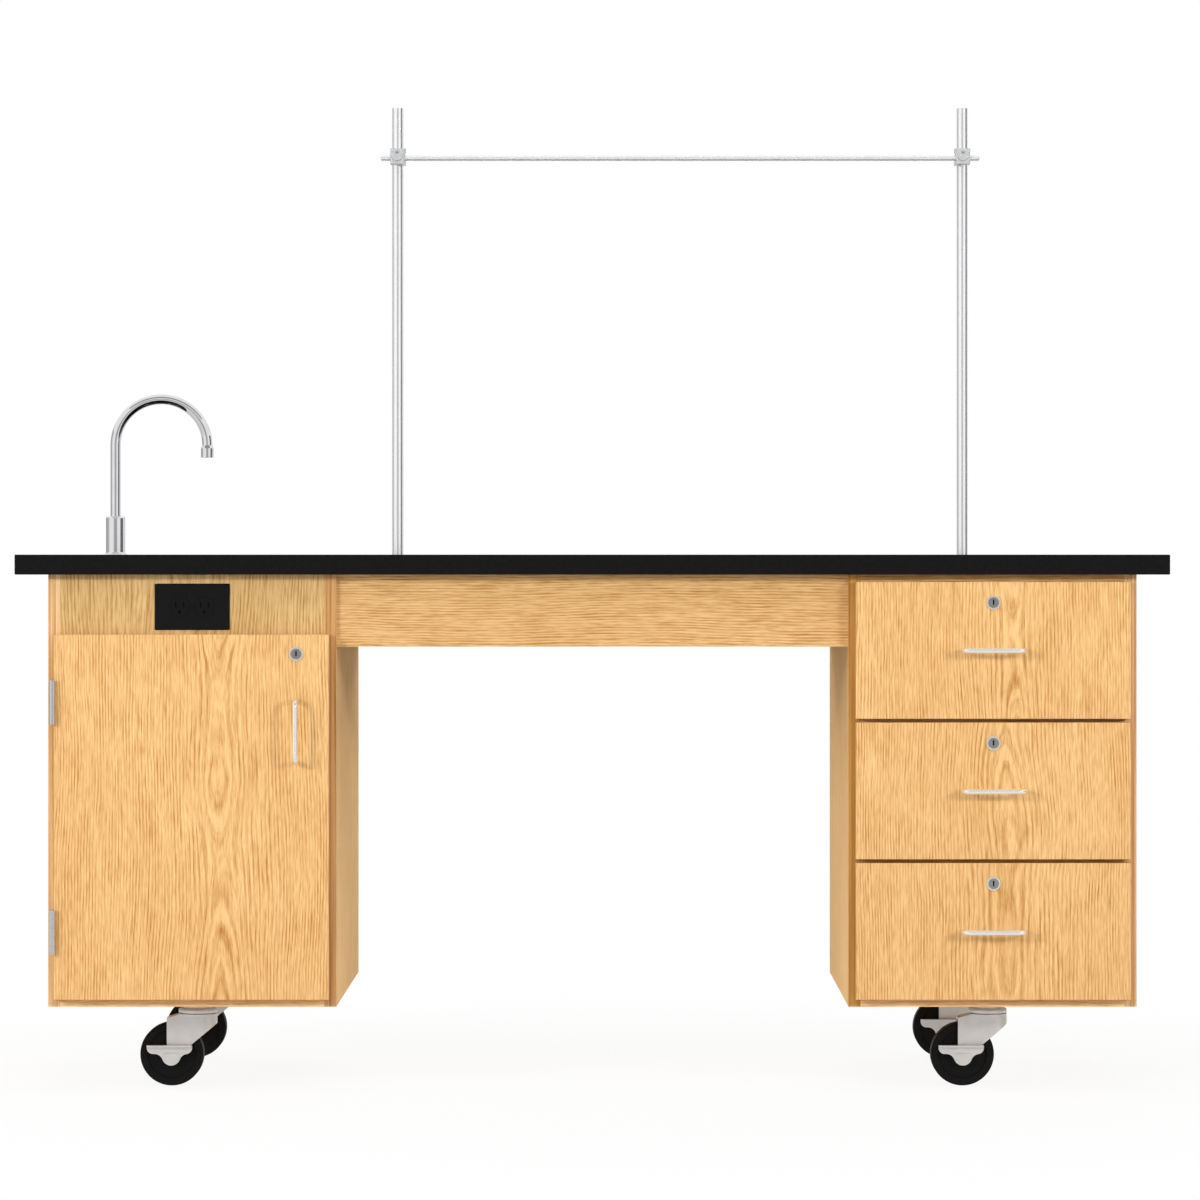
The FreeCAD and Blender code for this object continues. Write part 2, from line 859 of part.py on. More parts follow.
def caster_plate(x, y):
    """The top plate with its fixed raceway and kingpin."""
    corners = rectangle(caster_plate_length, caster_plate_width, caster_plate_corner, (x, y))
    plate = prism(corners, caster_plate_thick, (0, 0, plate_under))
    outer = raceway_diameter / 2
    inner_radius = outer - 2 * raceway_bead
    pin = kingpin_diameter / 2
    pin_end = crown_under - loose_fit - kingpin_nut_thick - loose_fit
    neck = plate_under - raceway_height
    race = ((0, pin_end), (pin, pin_end), (pin, neck + raceway_bead),
            (inner_radius, neck + raceway_bead), (inner_radius, neck), (outer, neck, raceway_under_round),
            (outer, neck + 2 * raceway_bead, raceway_side_round),
            (inner_radius, neck + 2 * raceway_bead), (inner_radius, plate_under), (0, plate_under))
    plate = plate.fuse(turned(race, (x, y, 0))).removeSplitter()
    hole = lag_diameter / 2 + screw_fit
    for sx in (-1, 1):
        for sy in (-1, 1):
            at = (x + sx * lag_spacing_x / 2, y + sy * lag_spacing_y / 2, plate_under - overrun)
            plate = plate.cut(rod(hole, caster_plate_thick + 2 * overrun, at))
    return plate


def make_caster_plates():
    pieces = []
    for x, y in caster_places().values():
        pieces.append(caster_plate(x, y))
        nut_z = crown_under - loose_fit - kingpin_nut_thick
        pieces.append(hexagon(kingpin_nut_width, kingpin_nut_thick, (x, y, nut_z), from_above,
                              kingpin_diameter / 2 + running_fit))
    for case in (left_case, right_case):
        for x, y in lag_places(case):
            head = hexagon(lag_head_width, lag_head_thick, (x, y, plate_under - lag_head_thick))
            shank = rod(lag_diameter / 2, caster_plate_thick + lag_depth, (x, y, plate_under))
            pieces.append(head.fuse(shank))
    save("caster_plates", *pieces)


def fork_wall(x, y, inset):
    """A rounded sleeve seen from above: two straight legs joined by a round back."""
    half = fork_half - inset
    back = x + fork_back - inset
    front = x - caster_trail - 2 * axle_boss_radius
    bend = half * fork_round_share
    corners = ((front, y - half), (back, y - half, bend), (back, y + half, bend), (front, y + half))
    return prism(corners, crown_under + overrun, (0, 0, 0))


def caster_fork(x, y):
    """A fork of bent sheet: its sleeve is trimmed to the side outline, under a crown."""
    outer = fork_wall(x, y, 0)
    sleeve = outer.cut(fork_wall(x, y, fork_sheet))
    axle_x = x - caster_trail
    front = x - fork_front
    slope_x = x - fork_slope
    back_y = y + fork_half
    side = ((front, fork_front_height), (front, wheel_z), (axle_x + axle_boss_radius, wheel_z),
            (x + fork_back, fork_skirt_height), (x + fork_back, crown_under), (slope_x, crown_under))
    trim = prism(side, 2 * fork_half, (0, back_y, 0), from_front)
    trim = trim.fuse(rod(axle_boss_radius, 2 * fork_half, (axle_x, back_y, wheel_z), from_front))
    walls = sleeve.common(trim)
    top = ((x + fork_back, crown_under), (x + fork_back, crown_top),
           (slope_x, crown_top, axle_boss_radius), (front, fork_front_height + crown_thick),
           (front, fork_front_height), (slope_x, crown_under, axle_boss_radius))
    crown = prism(top, 2 * fork_half, (0, back_y, 0), from_front).common(outer)
    disc = rod(raceway_diameter / 2, crown_thick, (x, y, crown_under))
    fork = walls.multiFuse([crown, disc])
    pin_hole = kingpin_diameter / 2 + running_fit
    fork = fork.cut(rod(pin_hole, crown_thick + 2 * overrun, (x, y, crown_under - overrun)))
    axle_hole = rod(axle_diameter / 2 + running_fit / 2, 2 * fork_half + 2 * overrun,
                    (axle_x, y - fork_half - overrun, wheel_z), from_back)
    return fork.cut(axle_hole).removeSplitter()


def caster_axle(x, y):
    """The axle bolt, from its rimmed head on the front leg to its nut on the back one."""
    axle_x = x - caster_trail
    head_y = y - fork_half - axle_head_thick
    end_y = y + fork_half + axle_nut_thick
    radius = axle_head_diameter / 2
    neck = axle_neck_diameter / 2
    rim = axle_head_thick - axle_neck_thick
    head = turned(((0, 0), (radius, 0, axle_head_round), (radius, rim), (neck, rim),
                   (neck, axle_head_thick), (0, axle_head_thick)),
                  (axle_x, head_y, wheel_z), from_back)
    shank_y = head_y + axle_head_thick
    shank = rod(axle_diameter / 2, end_y - shank_y, (axle_x, shank_y, wheel_z), from_back)
    nut = hexagon(axle_nut_width, axle_nut_thick, (axle_x, y + fork_half, wheel_z), from_back,
                  axle_diameter / 2 + running_fit / 2)
    return [head.fuse(shank).removeSplitter(), nut]


def caster_wheel(x, y):
    """A solid wheel with a rounded tread, a dished face and a long hub."""
    radius = wheel_diameter / 2
    half = wheel_width / 2
    hub = half + fork_side_gap - loose_fit
    bore = axle_diameter / 2 + running_fit
    dish = half - wheel_dish
    profile = ((bore, -hub), (wheel_hub_radius, -hub), (wheel_hub_radius, -dish, wheel_dish / 2),
               (wheel_dish_radius, -dish, wheel_dish / 2), (wheel_dish_radius, -half),
               (radius, -half, wheel_edge_round), (radius, half, wheel_edge_round),
               (wheel_dish_radius, half), (wheel_dish_radius, dish, wheel_dish / 2),
               (wheel_hub_radius, dish, wheel_dish / 2), (wheel_hub_radius, hub), (bore, hub))
    return turned(profile, (x - caster_trail, y, wheel_z), from_back)


def brake_outline():
    """A pedal's outline round the axle: two wings, and a lobe that flows out of them."""
    front = -brake_width / 2 - brake_ahead
    back = brake_width / 2 - brake_ahead
    wing_z = brake_top - brake_wing_drop
    lobe = brake_lobe_radius
    throat = brake_throat_round
    # the throat's arc touches the wing's lower edge and the lobe, so one line touches both arcs
    lift = brake_throat_round + brake_lobe_radius - brake_lobe_drop - wing_z
    turn = math.pi / 2 - math.asin(lift / (throat + lobe))
    setback = math.tan(turn / 2)
    throat_x = math.sqrt((throat + lobe) ** 2 - lift ** 2) - throat * setback
    lobe_x = lobe * setback
    return [(front, brake_top), (front, wing_z, brake_wing_round), (-throat_x, wing_z, throat),
            (-lobe_x, -brake_lobe_drop, lobe), (lobe_x, -brake_lobe_drop, lobe),
            (throat_x, wing_z, throat), (back, wing_z, brake_wing_round), (back, brake_top)]


def brake_collar(at):
    """The ring behind the pedal, pressed in behind the rim of the axle's head."""
    pocket = axle_head_diameter / 2 + loose_fit
    outer = pocket + brake_collar_wall
    lip = axle_neck_diameter / 2 + loose_fit
    lip_start = axle_head_thick - axle_neck_thick + 2 * loose_fit
    profile = ((pocket, -running_fit), (outer, -running_fit), (outer, axle_head_thick),
               (lip, axle_head_thick), (lip, lip_start), (pocket, lip_start))
    return turned(profile, at, from_back)


def caster_brake(x, y):
    """A pressed pedal that rocks on the axle's head, with a folded tread along its top."""
    axle_x = x - caster_trail
    back_y = y - fork_half - axle_head_thick - loose_fit
    face_y = back_y - brake_sheet
    pedal = prism(brake_outline(), brake_sheet, (axle_x, back_y, wheel_z), from_front)
    tread_x = [axle_x - brake_ahead + side * brake_width / 2 for side in (-1, 1)]
    tread_y = (face_y - brake_tread, back_y)
    tread_z = (wheel_z + brake_top - brake_sheet, wheel_z + brake_top)
    tread = box(tread_x, tread_y, tread_z)
    near = [edge for edge in tread.Edges
            if edge.BoundBox.YMax < tread_y[0] + same_point and edge.Length < brake_tread]
    tread = tread.makeFillet(brake_tread_round, near)
    tongue_side = brake_tongue_width / 2
    tongue = ((-tongue_side, brake_tongue_top), (-tongue_side, -brake_tongue_drop, brake_tongue_round),
              (tongue_side, -brake_tongue_drop, brake_tongue_round), (tongue_side, brake_tongue_top))
    raised = prism(tongue, brake_tongue_proud + running_fit,
                   (axle_x, face_y + running_fit, wheel_z), from_front)
    slit_z = wheel_z + brake_tongue_top
    slit = box((axle_x - brake_slit_width / 2, axle_x + brake_slit_width / 2),
               (face_y - overrun, face_y + brake_slit_depth), (slit_z, slit_z + brake_slit_height))
    collar = brake_collar((axle_x, back_y, wheel_z))
    return pedal.multiFuse([tread, raised, collar]).cut(slit).removeSplitter()


def make_casters():
    make_caster_plates()
    for name, (x, y) in caster_places().items():
        save("caster_" + name + "_fork", caster_fork(x, y), *caster_axle(x, y))
        save("caster_" + name + "_wheel", caster_wheel(x, y))
        save("caster_" + name + "_brake", caster_brake(x, y))


# Rod frame: two uprights in flush sockets, and a crossbar held by two clamps
rod_places = (left_case[1] + left_rod_from_case, top_right - right_rod_from_end)
bar_y = row_y - rod_diameter / 2 - clamp_web - bar_diameter / 2
bar_z = top_z + rod_height - bar_drop
clamp_front = bar_y - bar_diameter / 2 - clamp_wall
clamp_face = clamp_front - clamp_boss_thick
clamp_back = row_y + rod_diameter / 2 + clamp_wall
clamp_middle = bar_z + clamp_rise
clamp_screw_z = bar_z + clamp_screw_rise


def make_rod_sockets():
    pieces = []
    bore = rod_diameter / 2 + running_fit
    body = socket_diameter / 2
    flange = socket_flange_diameter / 2
    for x in rod_places:
        profile = ((0, -socket_depth), (body, -socket_depth), (body, -socket_flange_thick),
                   (flange, -socket_flange_thick), (flange, 0), (bore, 0), (bore, -socket_seat),
                   (0, -socket_seat))
        pieces.append(turned(profile, (x, row_y, top_z)))
        nut_z = top_under - socket_nut_thick
        pieces.append(hexagon(socket_nut_width, socket_nut_thick, (x, row_y, nut_z), from_above,
                              body + screw_fit))
    save("rod_sockets", *pieces)


def make_upright_rods():
    radius = rod_diameter / 2
    length = rod_height + socket_seat
    profile = ((0, 0), (radius, 0), (radius, length - rod_chamfer), (radius - rod_chamfer, length),
               (0, length))
    bottom = top_z - socket_seat
    save("upright_rods", *[turned(profile, (x, row_y, bottom)) for x in rod_places])


def make_crossbar():
    start = rod_places[0] - bar_overhang
    length = rod_places[1] + bar_overhang - start
    radius = bar_diameter / 2
    profile = ((0, 0), (radius - bar_chamfer, 0), (radius, bar_chamfer),
               (radius, length - bar_chamfer), (radius - bar_chamfer, length), (0, length))
    save("crossbar", turned(profile, (start, bar_y, bar_z), from_side))


def rod_clamp(x, inward):
    """A cast body bored for the upright and for the crossbar, with two lugs and a boss."""
    depth = clamp_back - clamp_front
    middle_y = (clamp_back + clamp_front) / 2
    low = clamp_middle - clamp_height / 2
    body = prism(rectangle(clamp_width, depth, clamp_round, (x, middle_y)), clamp_height, (0, 0, low))
    edge = x + inward * clamp_width / 2
    lug_x = ordered(edge - inward * clamp_lug, edge + inward * clamp_lug)
    lug_y = (clamp_front + clamp_round, clamp_front + clamp_round + clamp_lug_depth)
    for lug_z in (low + clamp_height - clamp_lug_height, low - clamp_lug):
        body = body.fuse(box(lug_x, lug_y, (lug_z, lug_z + clamp_lug_height)))
    radius = clamp_boss_diameter / 2
    profile = ((0, -running_fit), (radius, -running_fit), (radius, clamp_boss_thick, clamp_boss_round),
               (0, clamp_boss_thick))
    body = body.fuse(turned(profile, (x, clamp_front, clamp_middle + clamp_boss_rise), from_front))
    upright = rod(rod_diameter / 2 + running_fit, clamp_height + 2 * overrun, (x, row_y, low - overrun))
    across = rod(bar_diameter / 2 + running_fit, clamp_width + 2 * overrun,
                 (x - clamp_width / 2 - overrun, bar_y, bar_z), from_side)
    tapped = clamp_screw / 2 + running_fit
    front_hole = rod(tapped, row_y - clamp_face + overrun, (x, clamp_face - overrun, clamp_screw_z),
                     from_back)
    low_hole = rod(tapped, bar_z - low + overrun, (x, bar_y, low - overrun))
    return body.cut(upright).cut(across).cut(front_hole).cut(low_hole).removeSplitter()


def set_screw(length, at, turn):
    """A headless screw whose key socket opens at its start."""
    radius = clamp_screw / 2
    profile = ((0, 0), (radius - clamp_screw_round, 0), (radius, clamp_screw_round),
               (radius, length - clamp_screw_round), (radius - clamp_screw_round, length), (0, length))
    return turned(profile, at, turn).cut(hexagon(clamp_key_width, clamp_key_depth, at, turn))


def bar_screw(x):
    """The headless screw in the clamp's underside that holds the crossbar."""
    start = clamp_middle - clamp_height / 2 + clamp_screw_sunk
    return set_screw(bar_z - bar_diameter / 2 - running_fit - start, (x, bar_y, start), from_above)


def upright_screw(x):
    """The headless screw in the clamp's boss that passes over the crossbar to the upright."""
    start = clamp_face + clamp_screw_sunk
    length = row_y - rod_diameter / 2 - running_fit - start
    return set_screw(length, (x, start, clamp_screw_z), from_back)


def make_clamps():
    clamps = [rod_clamp(x, inward) for x, inward in zip(rod_places, (1, -1))]
    save("rod_clamps", *clamps, *[bar_screw(x) for x in rod_places])
    for name, x in zip(("left", "right"), rod_places):
        save("clamp_screw_" + name, upright_screw(x))


# Tap: a round base with a bell flange, and a gooseneck that swings in it
def make_tap():
    flange = tap_flange_diameter / 2
    body = tap_body_diameter / 2
    bore = spout_diameter / 2 + running_fit
    shank = tap_shank_diameter / 2
    shank_end = -top_thick - tap_shank_length
    seat = -tap_spot_face
    profile = ((0, shank_end), (shank, shank_end), (shank, seat), (flange, seat), (flange, tap_flange_rim),
               (body, tap_flange_rim, tap_flange_sweep),
               (body, tap_body_height, tap_body_round),
               (bore, tap_body_height), (bore, tap_body_height - spout_seat),
               (0, tap_body_height - spout_seat))
    base = turned(profile, (tap_x, row_y, top_z))
    nut = hexagon(tap_nut_width, tap_nut_thick, (tap_x, row_y, top_under - tap_nut_thick), from_above,
                  shank + screw_fit)
    save("tap_base", base, nut)
    start = top_z + tap_body_height - spout_seat + loose_fit
    crest = top_z + spout_arc_height + spout_arc_radius
    end_x = tap_x + 2 * spout_arc_radius
    end_z = top_z + spout_arc_height
    path = ((tap_x, row_y, start), (tap_x, row_y, crest), (end_x, row_y, crest),
            (end_x, row_y, end_z - loose_fit))
    neck = bent_rod(path, spout_arc_radius, spout_diameter / 2)
    outer = aerator_diameter / 2
    top_radius = spout_diameter / 2 + loose_fit
    mouth = outer - aerator_wall
    profile = ((0, 0), (top_radius, 0), (outer, -aerator_taper), (outer, -aerator_height),
               (mouth, -aerator_height), (mouth, aerator_recess - aerator_height),
               (0, aerator_recess - aerator_height))
    aerator = turned(profile, (end_x, row_y, end_z - loose_fit))
    save("tap_spout", neck, aerator)


# Sink bowl under the worktop, with its drain
def make_sink():
    floor = top_under - sink_depth
    centre = (sink_x, sink_y)
    width = sink_width + 2 * sink_wall
    length = sink_length + 2 * sink_wall
    outer = rectangle(width, length, sink_corner + sink_wall, centre)
    shell = prism(outer, sink_depth + sink_wall, (0, 0, floor - sink_wall))
    shell = rounded_floor(shell, floor - sink_wall, sink_floor_round + sink_wall)
    inside = rectangle(sink_width, sink_length, sink_corner, centre)
    hollow = prism(inside, sink_depth + overrun, (0, 0, floor))
    hollow = rounded_floor(hollow, floor, sink_floor_round)
    rim = rectangle(width + 2 * sink_flange, length + 2 * sink_flange, sink_corner, centre)
    flange = prism(rim, sink_wall, (0, 0, top_under - sink_wall))
    hole_at = (sink_x, sink_y, floor - sink_wall - overrun)
    hole = rod(drain_hole / 2 + screw_fit, sink_wall + 2 * overrun, hole_at)
    save("sink_bowl", shell.fuse(flange).cut(hollow).cut(hole).removeSplitter())


def rounded_floor(solid, floor, radius):
    """Rounds the edges that lie in the floor of a bowl."""
    edges = [edge for edge in solid.Edges if edge.BoundBox.ZMax < floor + running_fit]
    return solid.makeFillet(radius, edges)


drain_top = top_under - sink_depth + drain_flange_thick
drain_end = drain_top - drain_flange_thick - drain_body_height - tailpiece_length


def make_drain():
    body = drain_hole / 2
    throat = body - drain_wall
    pipe = tailpiece / 2
    shoulder = -drain_body_height
    end = drain_end - drain_top
    profile = ((throat, 0), (throat, shoulder), (pipe - drain_wall, shoulder),
               (pipe - drain_wall, end), (pipe, end), (pipe, shoulder - drain_wall),
               (body, shoulder - drain_wall), (body, -drain_flange_thick),
               (drain_flange / 2, -drain_flange_thick), (drain_flange / 2, 0))
    drain = turned(profile, (sink_x, sink_y, drain_top))
    strainer_z = drain_top - strainer_drop
    strainer = rod(throat, strainer_thick, (sink_x, sink_y, strainer_z))
    for index in range(strainer_holes):
        angle = 2 * math.pi * index / strainer_holes
        hole_x = sink_x + strainer_ring / 2 * math.cos(angle)
        hole_y = sink_y + strainer_ring / 2 * math.sin(angle)
        strainer = strainer.cut(rod(strainer_hole / 2, strainer_thick, (hole_x, hole_y, strainer_z)))
    nut_at = (sink_x, sink_y, top_under - sink_depth - sink_wall - drain_nut_thick)
    nut = rod(drain_nut / 2, drain_nut_thick, nut_at)
    nut = nut.cut(rod(body + screw_fit, drain_nut_thick, nut_at))
    save("sink_drain", drain, strainer, nut)


# Water tanks on the floor of the left case, and their hoses
tank_places = (inner(left_case)[0] + tank_gap + tank_width / 2,
               inner(left_case)[1] - tank_gap - tank_width / 2)
tank_top = floor_z + tank_height
cap_top = tank_top + tank_neck_height + tank_cap_height


def tank_handle(x):
    """A carrying loop that stands on a tank's shoulder, as an upside-down U."""
    half = tank_handle_length / 2
    inner_half = half - tank_handle_bar
    inner_height = tank_handle_height - tank_handle_bar
    inner_round = tank_handle_round - tank_handle_bar / 2
    corners = ((-half, -tank_edge_round), (-inner_half, -tank_edge_round),
               (-inner_half, inner_height, inner_round), (inner_half, inner_height, inner_round),
               (inner_half, -tank_edge_round), (half, -tank_edge_round),
               (half, tank_handle_height, tank_handle_round), (-half, tank_handle_height, tank_handle_round))
    start = x + tank_handle_shift - tank_handle_width / 2
    return prism(corners, tank_handle_width, (start, sink_y, tank_top), from_side)


def water_tank(x):
    """A blow-moulded can with a neck and a carrying handle."""
    corners = rectangle(tank_width, tank_length, tank_round, (x, sink_y))
    can = prism(corners, tank_height, (0, 0, floor_z))
    flat = [edge for edge in can.Edges if edge.BoundBox.ZLength < running_fit]
    can = can.makeFillet(tank_edge_round, flat)
    neck_at = (x - tank_neck_offset, sink_y, tank_top - tank_neck_height)
    neck = rod(tank_neck / 2, 2 * tank_neck_height, neck_at)
    return can.multiFuse([neck, tank_handle(x)]).removeSplitter()


def tank_screw_cap(x):
    """The cap on a tank's neck, which its hose goes into."""
    cap = tank_cap / 2
    profile = ((0, 0), (cap, 0), (cap, tank_cap_height, tank_cap_round), (0, tank_cap_height))
    return turned(profile, (x - tank_neck_offset, sink_y, tank_top + tank_neck_height))


def make_tanks():
    pieces = []
    for x in tank_places:
        pieces.extend([water_tank(x), tank_screw_cap(x)])
    save("water_tanks", *pieces)


def make_hoses():
    fresh_x = tank_places[0] - tank_neck_offset
    waste_x = tank_places[1] - tank_neck_offset
    shank_end = top_under - tap_shank_length
    supply = ((tap_x, row_y, shank_end), (tap_x, row_y, shank_end - supply_drop),
              (fresh_x, sink_y, cap_top + supply_rise), (fresh_x, sink_y, cap_top))
    drain = ((sink_x, sink_y, drain_end), (sink_x, sink_y, drain_end - drain_run),
             (waste_x, sink_y, cap_top + drain_run), (waste_x, sink_y, cap_top))
    save("water_hoses",
         bent_rod(supply, supply_bend, supply_hose / 2),
         bent_rod(drain, drain_bend, drain_hose / 2))


# Duplex outlet in the panel above the door, and the cord gland at the back
outlet_x = left_case[0] + outlet_from_case_side
outlet_z = top_under - outlet_drop
outlet_faces = (outlet_x - outlet_spacing / 2, outlet_x + outlet_spacing / 2)


def outlet_face(x, grow, y, thick):
    """A round receptacle face with two flats, seen from the front."""
    disc = rod(outlet_face_radius + grow, thick, (x, y, outlet_z), from_front)
    width = 2 * (outlet_face_flat + grow)
    height = 4 * outlet_face_radius
    return disc.common(prism(rectangle(width, height), thick, (x, y, outlet_z), from_front))


def outlet_screw_solid():
    """The slotted screw in the middle of the plate."""
    front_y = case_front - outlet_plate_thick
    thick = outlet_screw_head
    radius = outlet_screw / 2
    profile = ((0, 0), (radius, 0), (radius, thick, thick / 2), (0, thick))
    head = turned(profile, (outlet_x, front_y, outlet_z), from_front)
    slot_at = (outlet_x, front_y - thick / 2, outlet_z)
    slot = prism(rectangle(outlet_screw + overrun, outlet_screw_slot), thick / 2 + overrun, slot_at,
                 from_front)
    shank = rod(outlet_screw_shank / 2, outlet_plate_thick, (outlet_x, front_y, outlet_z), from_back)
    return head.cut(slot).fuse(shank).removeSplitter()


def make_outlet_plate():
    corners = rectangle(outlet_plate_width, outlet_plate_height, outlet_plate_bevel)
    plate = prism(corners, outlet_plate_thick, (outlet_x, case_front, outlet_z), from_front)
    front_y = case_front - outlet_plate_thick
    rim = [edge for edge in plate.Edges if edge.BoundBox.YMax < front_y + running_fit]
    plate = plate.makeChamfer(outlet_plate_chamfer, rim)
    through = 2 * overrun + outlet_plate_thick
    for x in outlet_faces:
        plate = plate.cut(outlet_face(x, outlet_face_gap, case_front + overrun, through))
    hole_at = (outlet_x, front_y - overrun, outlet_z)
    hole = rod(outlet_screw_shank / 2 + screw_fit, through, hole_at, from_back)
    save("outlet_plate", plate.cut(hole), outlet_screw_solid())


def receptacle_body():
    """The receptacle with its two faces, their slots and the strap that holds it."""
    body = prism(rectangle(outlet_body_width, outlet_body_height), outlet_body_depth,
                 (outlet_x, case_front + outlet_body_depth, outlet_z), from_front)
    depth = outlet_plate_thick + outlet_face_proud
    cut_y = case_front - depth + slot_depth
    cut_depth = slot_depth + overrun
    blade = rectangle(slot_width, slot_length)
    for x in outlet_faces:
        body = body.fuse(outlet_face(x, 0, case_front, depth))
        for side in (-1, 1):
            at = (x + side * slot_spacing / 2, cut_y, outlet_z + slot_rise)
            body = body.cut(prism(blade, cut_depth, at, from_front))
        ground_at = (x, cut_y, outlet_z - ground_drop)
        body = body.cut(rod(ground_radius, cut_depth, ground_at, from_front))
    half = outlet_box_width / 2 - outlet_box_wall
    strap = box((outlet_x - half, outlet_x + half), (case_front, case_front + outlet_strap_thick),
                (outlet_z - outlet_strap_width / 2, outlet_z + outlet_strap_width / 2))
    return body.fuse(strap).removeSplitter()


def outlet_box():
    """The box behind the receptacle, open to the front."""
    corners = rectangle(outlet_box_width, outlet_box_height, outlet_box_wall)
    shell = prism(corners, outlet_box_depth, (outlet_x, case_front + outlet_box_depth, outlet_z),
                  from_front)
    room_width = outlet_box_width - 2 * outlet_box_wall
    room_height = outlet_box_height - 2 * outlet_box_wall
    room_at = (outlet_x, case_front + outlet_box_depth - outlet_box_wall, outlet_z)
    room = prism(rectangle(room_width, room_height), outlet_box_depth, room_at, from_front)
    return shell.cut(room)


def cord_gland():
    """A gland clamped through the back board, with a domed nut that grips the cord."""
    bore = gland_bore / 2
    neck = gland_diameter / 2
    dome = gland_head_thick + gland_dome
    profile = ((bore, -back_board), (neck, -back_board), (neck, 0), (gland_head / 2, 0),
               (gland_head / 2, gland_head_thick), (neck, gland_head_thick),
               (neck - gland_dome_taper, dome, gland_dome_taper), (bore, dome))
    return turned(profile, gland_seat(back_board), from_back)


def make_receptacle():
    save("outlet_receptacle", receptacle_body(), outlet_box(), cord_gland())


def gland_seat(depth):
    """A place on the cord gland's axis, so far behind the back board's inner face."""
    return (inner(left_case)[1] - gland_from_side, inner_back + depth, floor_z + gland_height)


make_worktop()
make_cases()
make_front_panel()
make_rails()
make_knee_aprons()
make_door()
make_hinges()
make_case_runners()
for index in range(drawer_count):
    label = "drawer_" + str(index + 1)
    make_drawer_front(index, label)
    make_drawer_box(index, label)
    make_drawer_runners(index, label)
make_casters()
make_rod_sockets()
make_upright_rods()
make_crossbar()
make_clamps()
make_tap()
make_sink()
make_drain()
make_tanks()
make_hoses()
make_outlet_plate()
make_receptacle()
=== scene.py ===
# %% [markdown]
# # A mobile lab station
# The real object is a wheeled oak table for a laboratory: a black resin top with a sink and a
# gooseneck tap, a cupboard, three drawers and a rod frame. Its measured solids arrive as a frame
# that never changes. This lesson gives each solid its finish and adds the small pieces that a
# maker would see: grip ribs, hose rings and screw heads, and black plates of painted shade in the
# keyholes. All of it is in metres.

# %% Load the frame
import bpy
import math
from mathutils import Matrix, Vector


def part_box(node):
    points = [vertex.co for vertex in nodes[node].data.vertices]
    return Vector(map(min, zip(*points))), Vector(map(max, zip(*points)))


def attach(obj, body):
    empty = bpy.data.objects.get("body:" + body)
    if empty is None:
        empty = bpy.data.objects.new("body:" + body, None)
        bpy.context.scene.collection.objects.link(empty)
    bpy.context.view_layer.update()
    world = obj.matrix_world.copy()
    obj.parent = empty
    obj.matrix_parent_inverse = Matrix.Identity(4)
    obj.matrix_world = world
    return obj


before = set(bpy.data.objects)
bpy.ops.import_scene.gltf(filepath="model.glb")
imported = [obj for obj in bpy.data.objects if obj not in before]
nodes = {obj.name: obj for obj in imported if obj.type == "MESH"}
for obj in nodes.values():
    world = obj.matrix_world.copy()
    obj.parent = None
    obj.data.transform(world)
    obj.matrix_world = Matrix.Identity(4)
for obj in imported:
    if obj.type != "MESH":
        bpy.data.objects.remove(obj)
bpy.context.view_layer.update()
MM = 0.001

# %% [markdown]
# The photograph was taken from far away with a long lens, level with the top, so the fronts look
# almost flat. A short lens close by would show the inner sides of the knee space too strongly.
# The shift only frames the object; the camera itself stays level.

# %% Camera
def put(name, data):
    """An object in the scene that holds a camera, a lamp or a mesh."""
    made = bpy.data.objects.new(name, data)
    bpy.context.scene.collection.objects.link(made)
    return made


lens = bpy.data.cameras.new("photo_camera")
lens.lens = 154.5
lens.sensor_width = 36
lens.shift_x = -0.01167
lens.shift_y = -0.02333
camera = put("photo_camera", lens)
camera.location = (0.0343, -8.514, 0.825)
camera.rotation_euler = (math.radians(90), 0, 0)
bpy.context.scene.camera = camera
print("camera at", tuple(camera.location), "lens", lens.lens)

# %% [markdown]
# Colours are read from the photograph as screen values. A shader works with light, so every hex
# value goes through one function. The next function sets a node's inputs, which may be plain
# values or the outputs of other nodes, and one more adds any node in that way. The last two start
# an empty tree and a material with one surface shader.

# %% Colours, nodes and materials
def colour(code):
    """A screen colour as the linear colour that a shader takes."""
    parts = [int(code[i:i + 2], 16) / 255 for i in (1, 3, 5)]
    return [p / 12.92 if p <= 0.04045 else ((p + 0.055) / 1.055) ** 2.4 for p in parts] + [1.0]


def wire(tree, node, inputs):
    """Sets a node's inputs: a value stays a value, a node or an output becomes a link."""
    for key, value in inputs.items():
        if isinstance(key, int):
            target = node.inputs[key]
        else:
            target = next(s for s in node.inputs if s.name == key and s.enabled)
        if isinstance(value, bpy.types.Node):
            value = next(s for s in value.outputs if s.enabled)
        if isinstance(value, bpy.types.NodeSocket):
            tree.links.new(value, target)
        else:
            target.default_value = value


def add(tree, kind, settings=None, inputs=None):
    """Adds one node with its settings and inputs."""
    node = tree.nodes.new(kind)
    for name, value in (settings or {}).items():
        setattr(node, name, value)
    wire(tree, node, inputs or {})
    return node


def bare_tree(owner):
    """The emptied node tree of a material or the world."""
    owner.use_nodes = True
    owner.node_tree.nodes.clear()
    return owner.node_tree


def material(name, surface):
    """A material with one surface shader, its tree and the shader."""
    made = bpy.data.materials.new(name)
    tree = bare_tree(made)
    shader = add(tree, "ShaderNodeBsdfPrincipled", None, surface)
    add(tree, "ShaderNodeOutputMaterial", None, {"Surface": shader})
    return made, tree, shader


WHITE = (1, 1, 1, 1)
PALE_OAK, DEEP_OAK = "#f6cb8d", "#ba7d39"
print("pale oak as light:", [round(x, 3) for x in colour(PALE_OAK)])

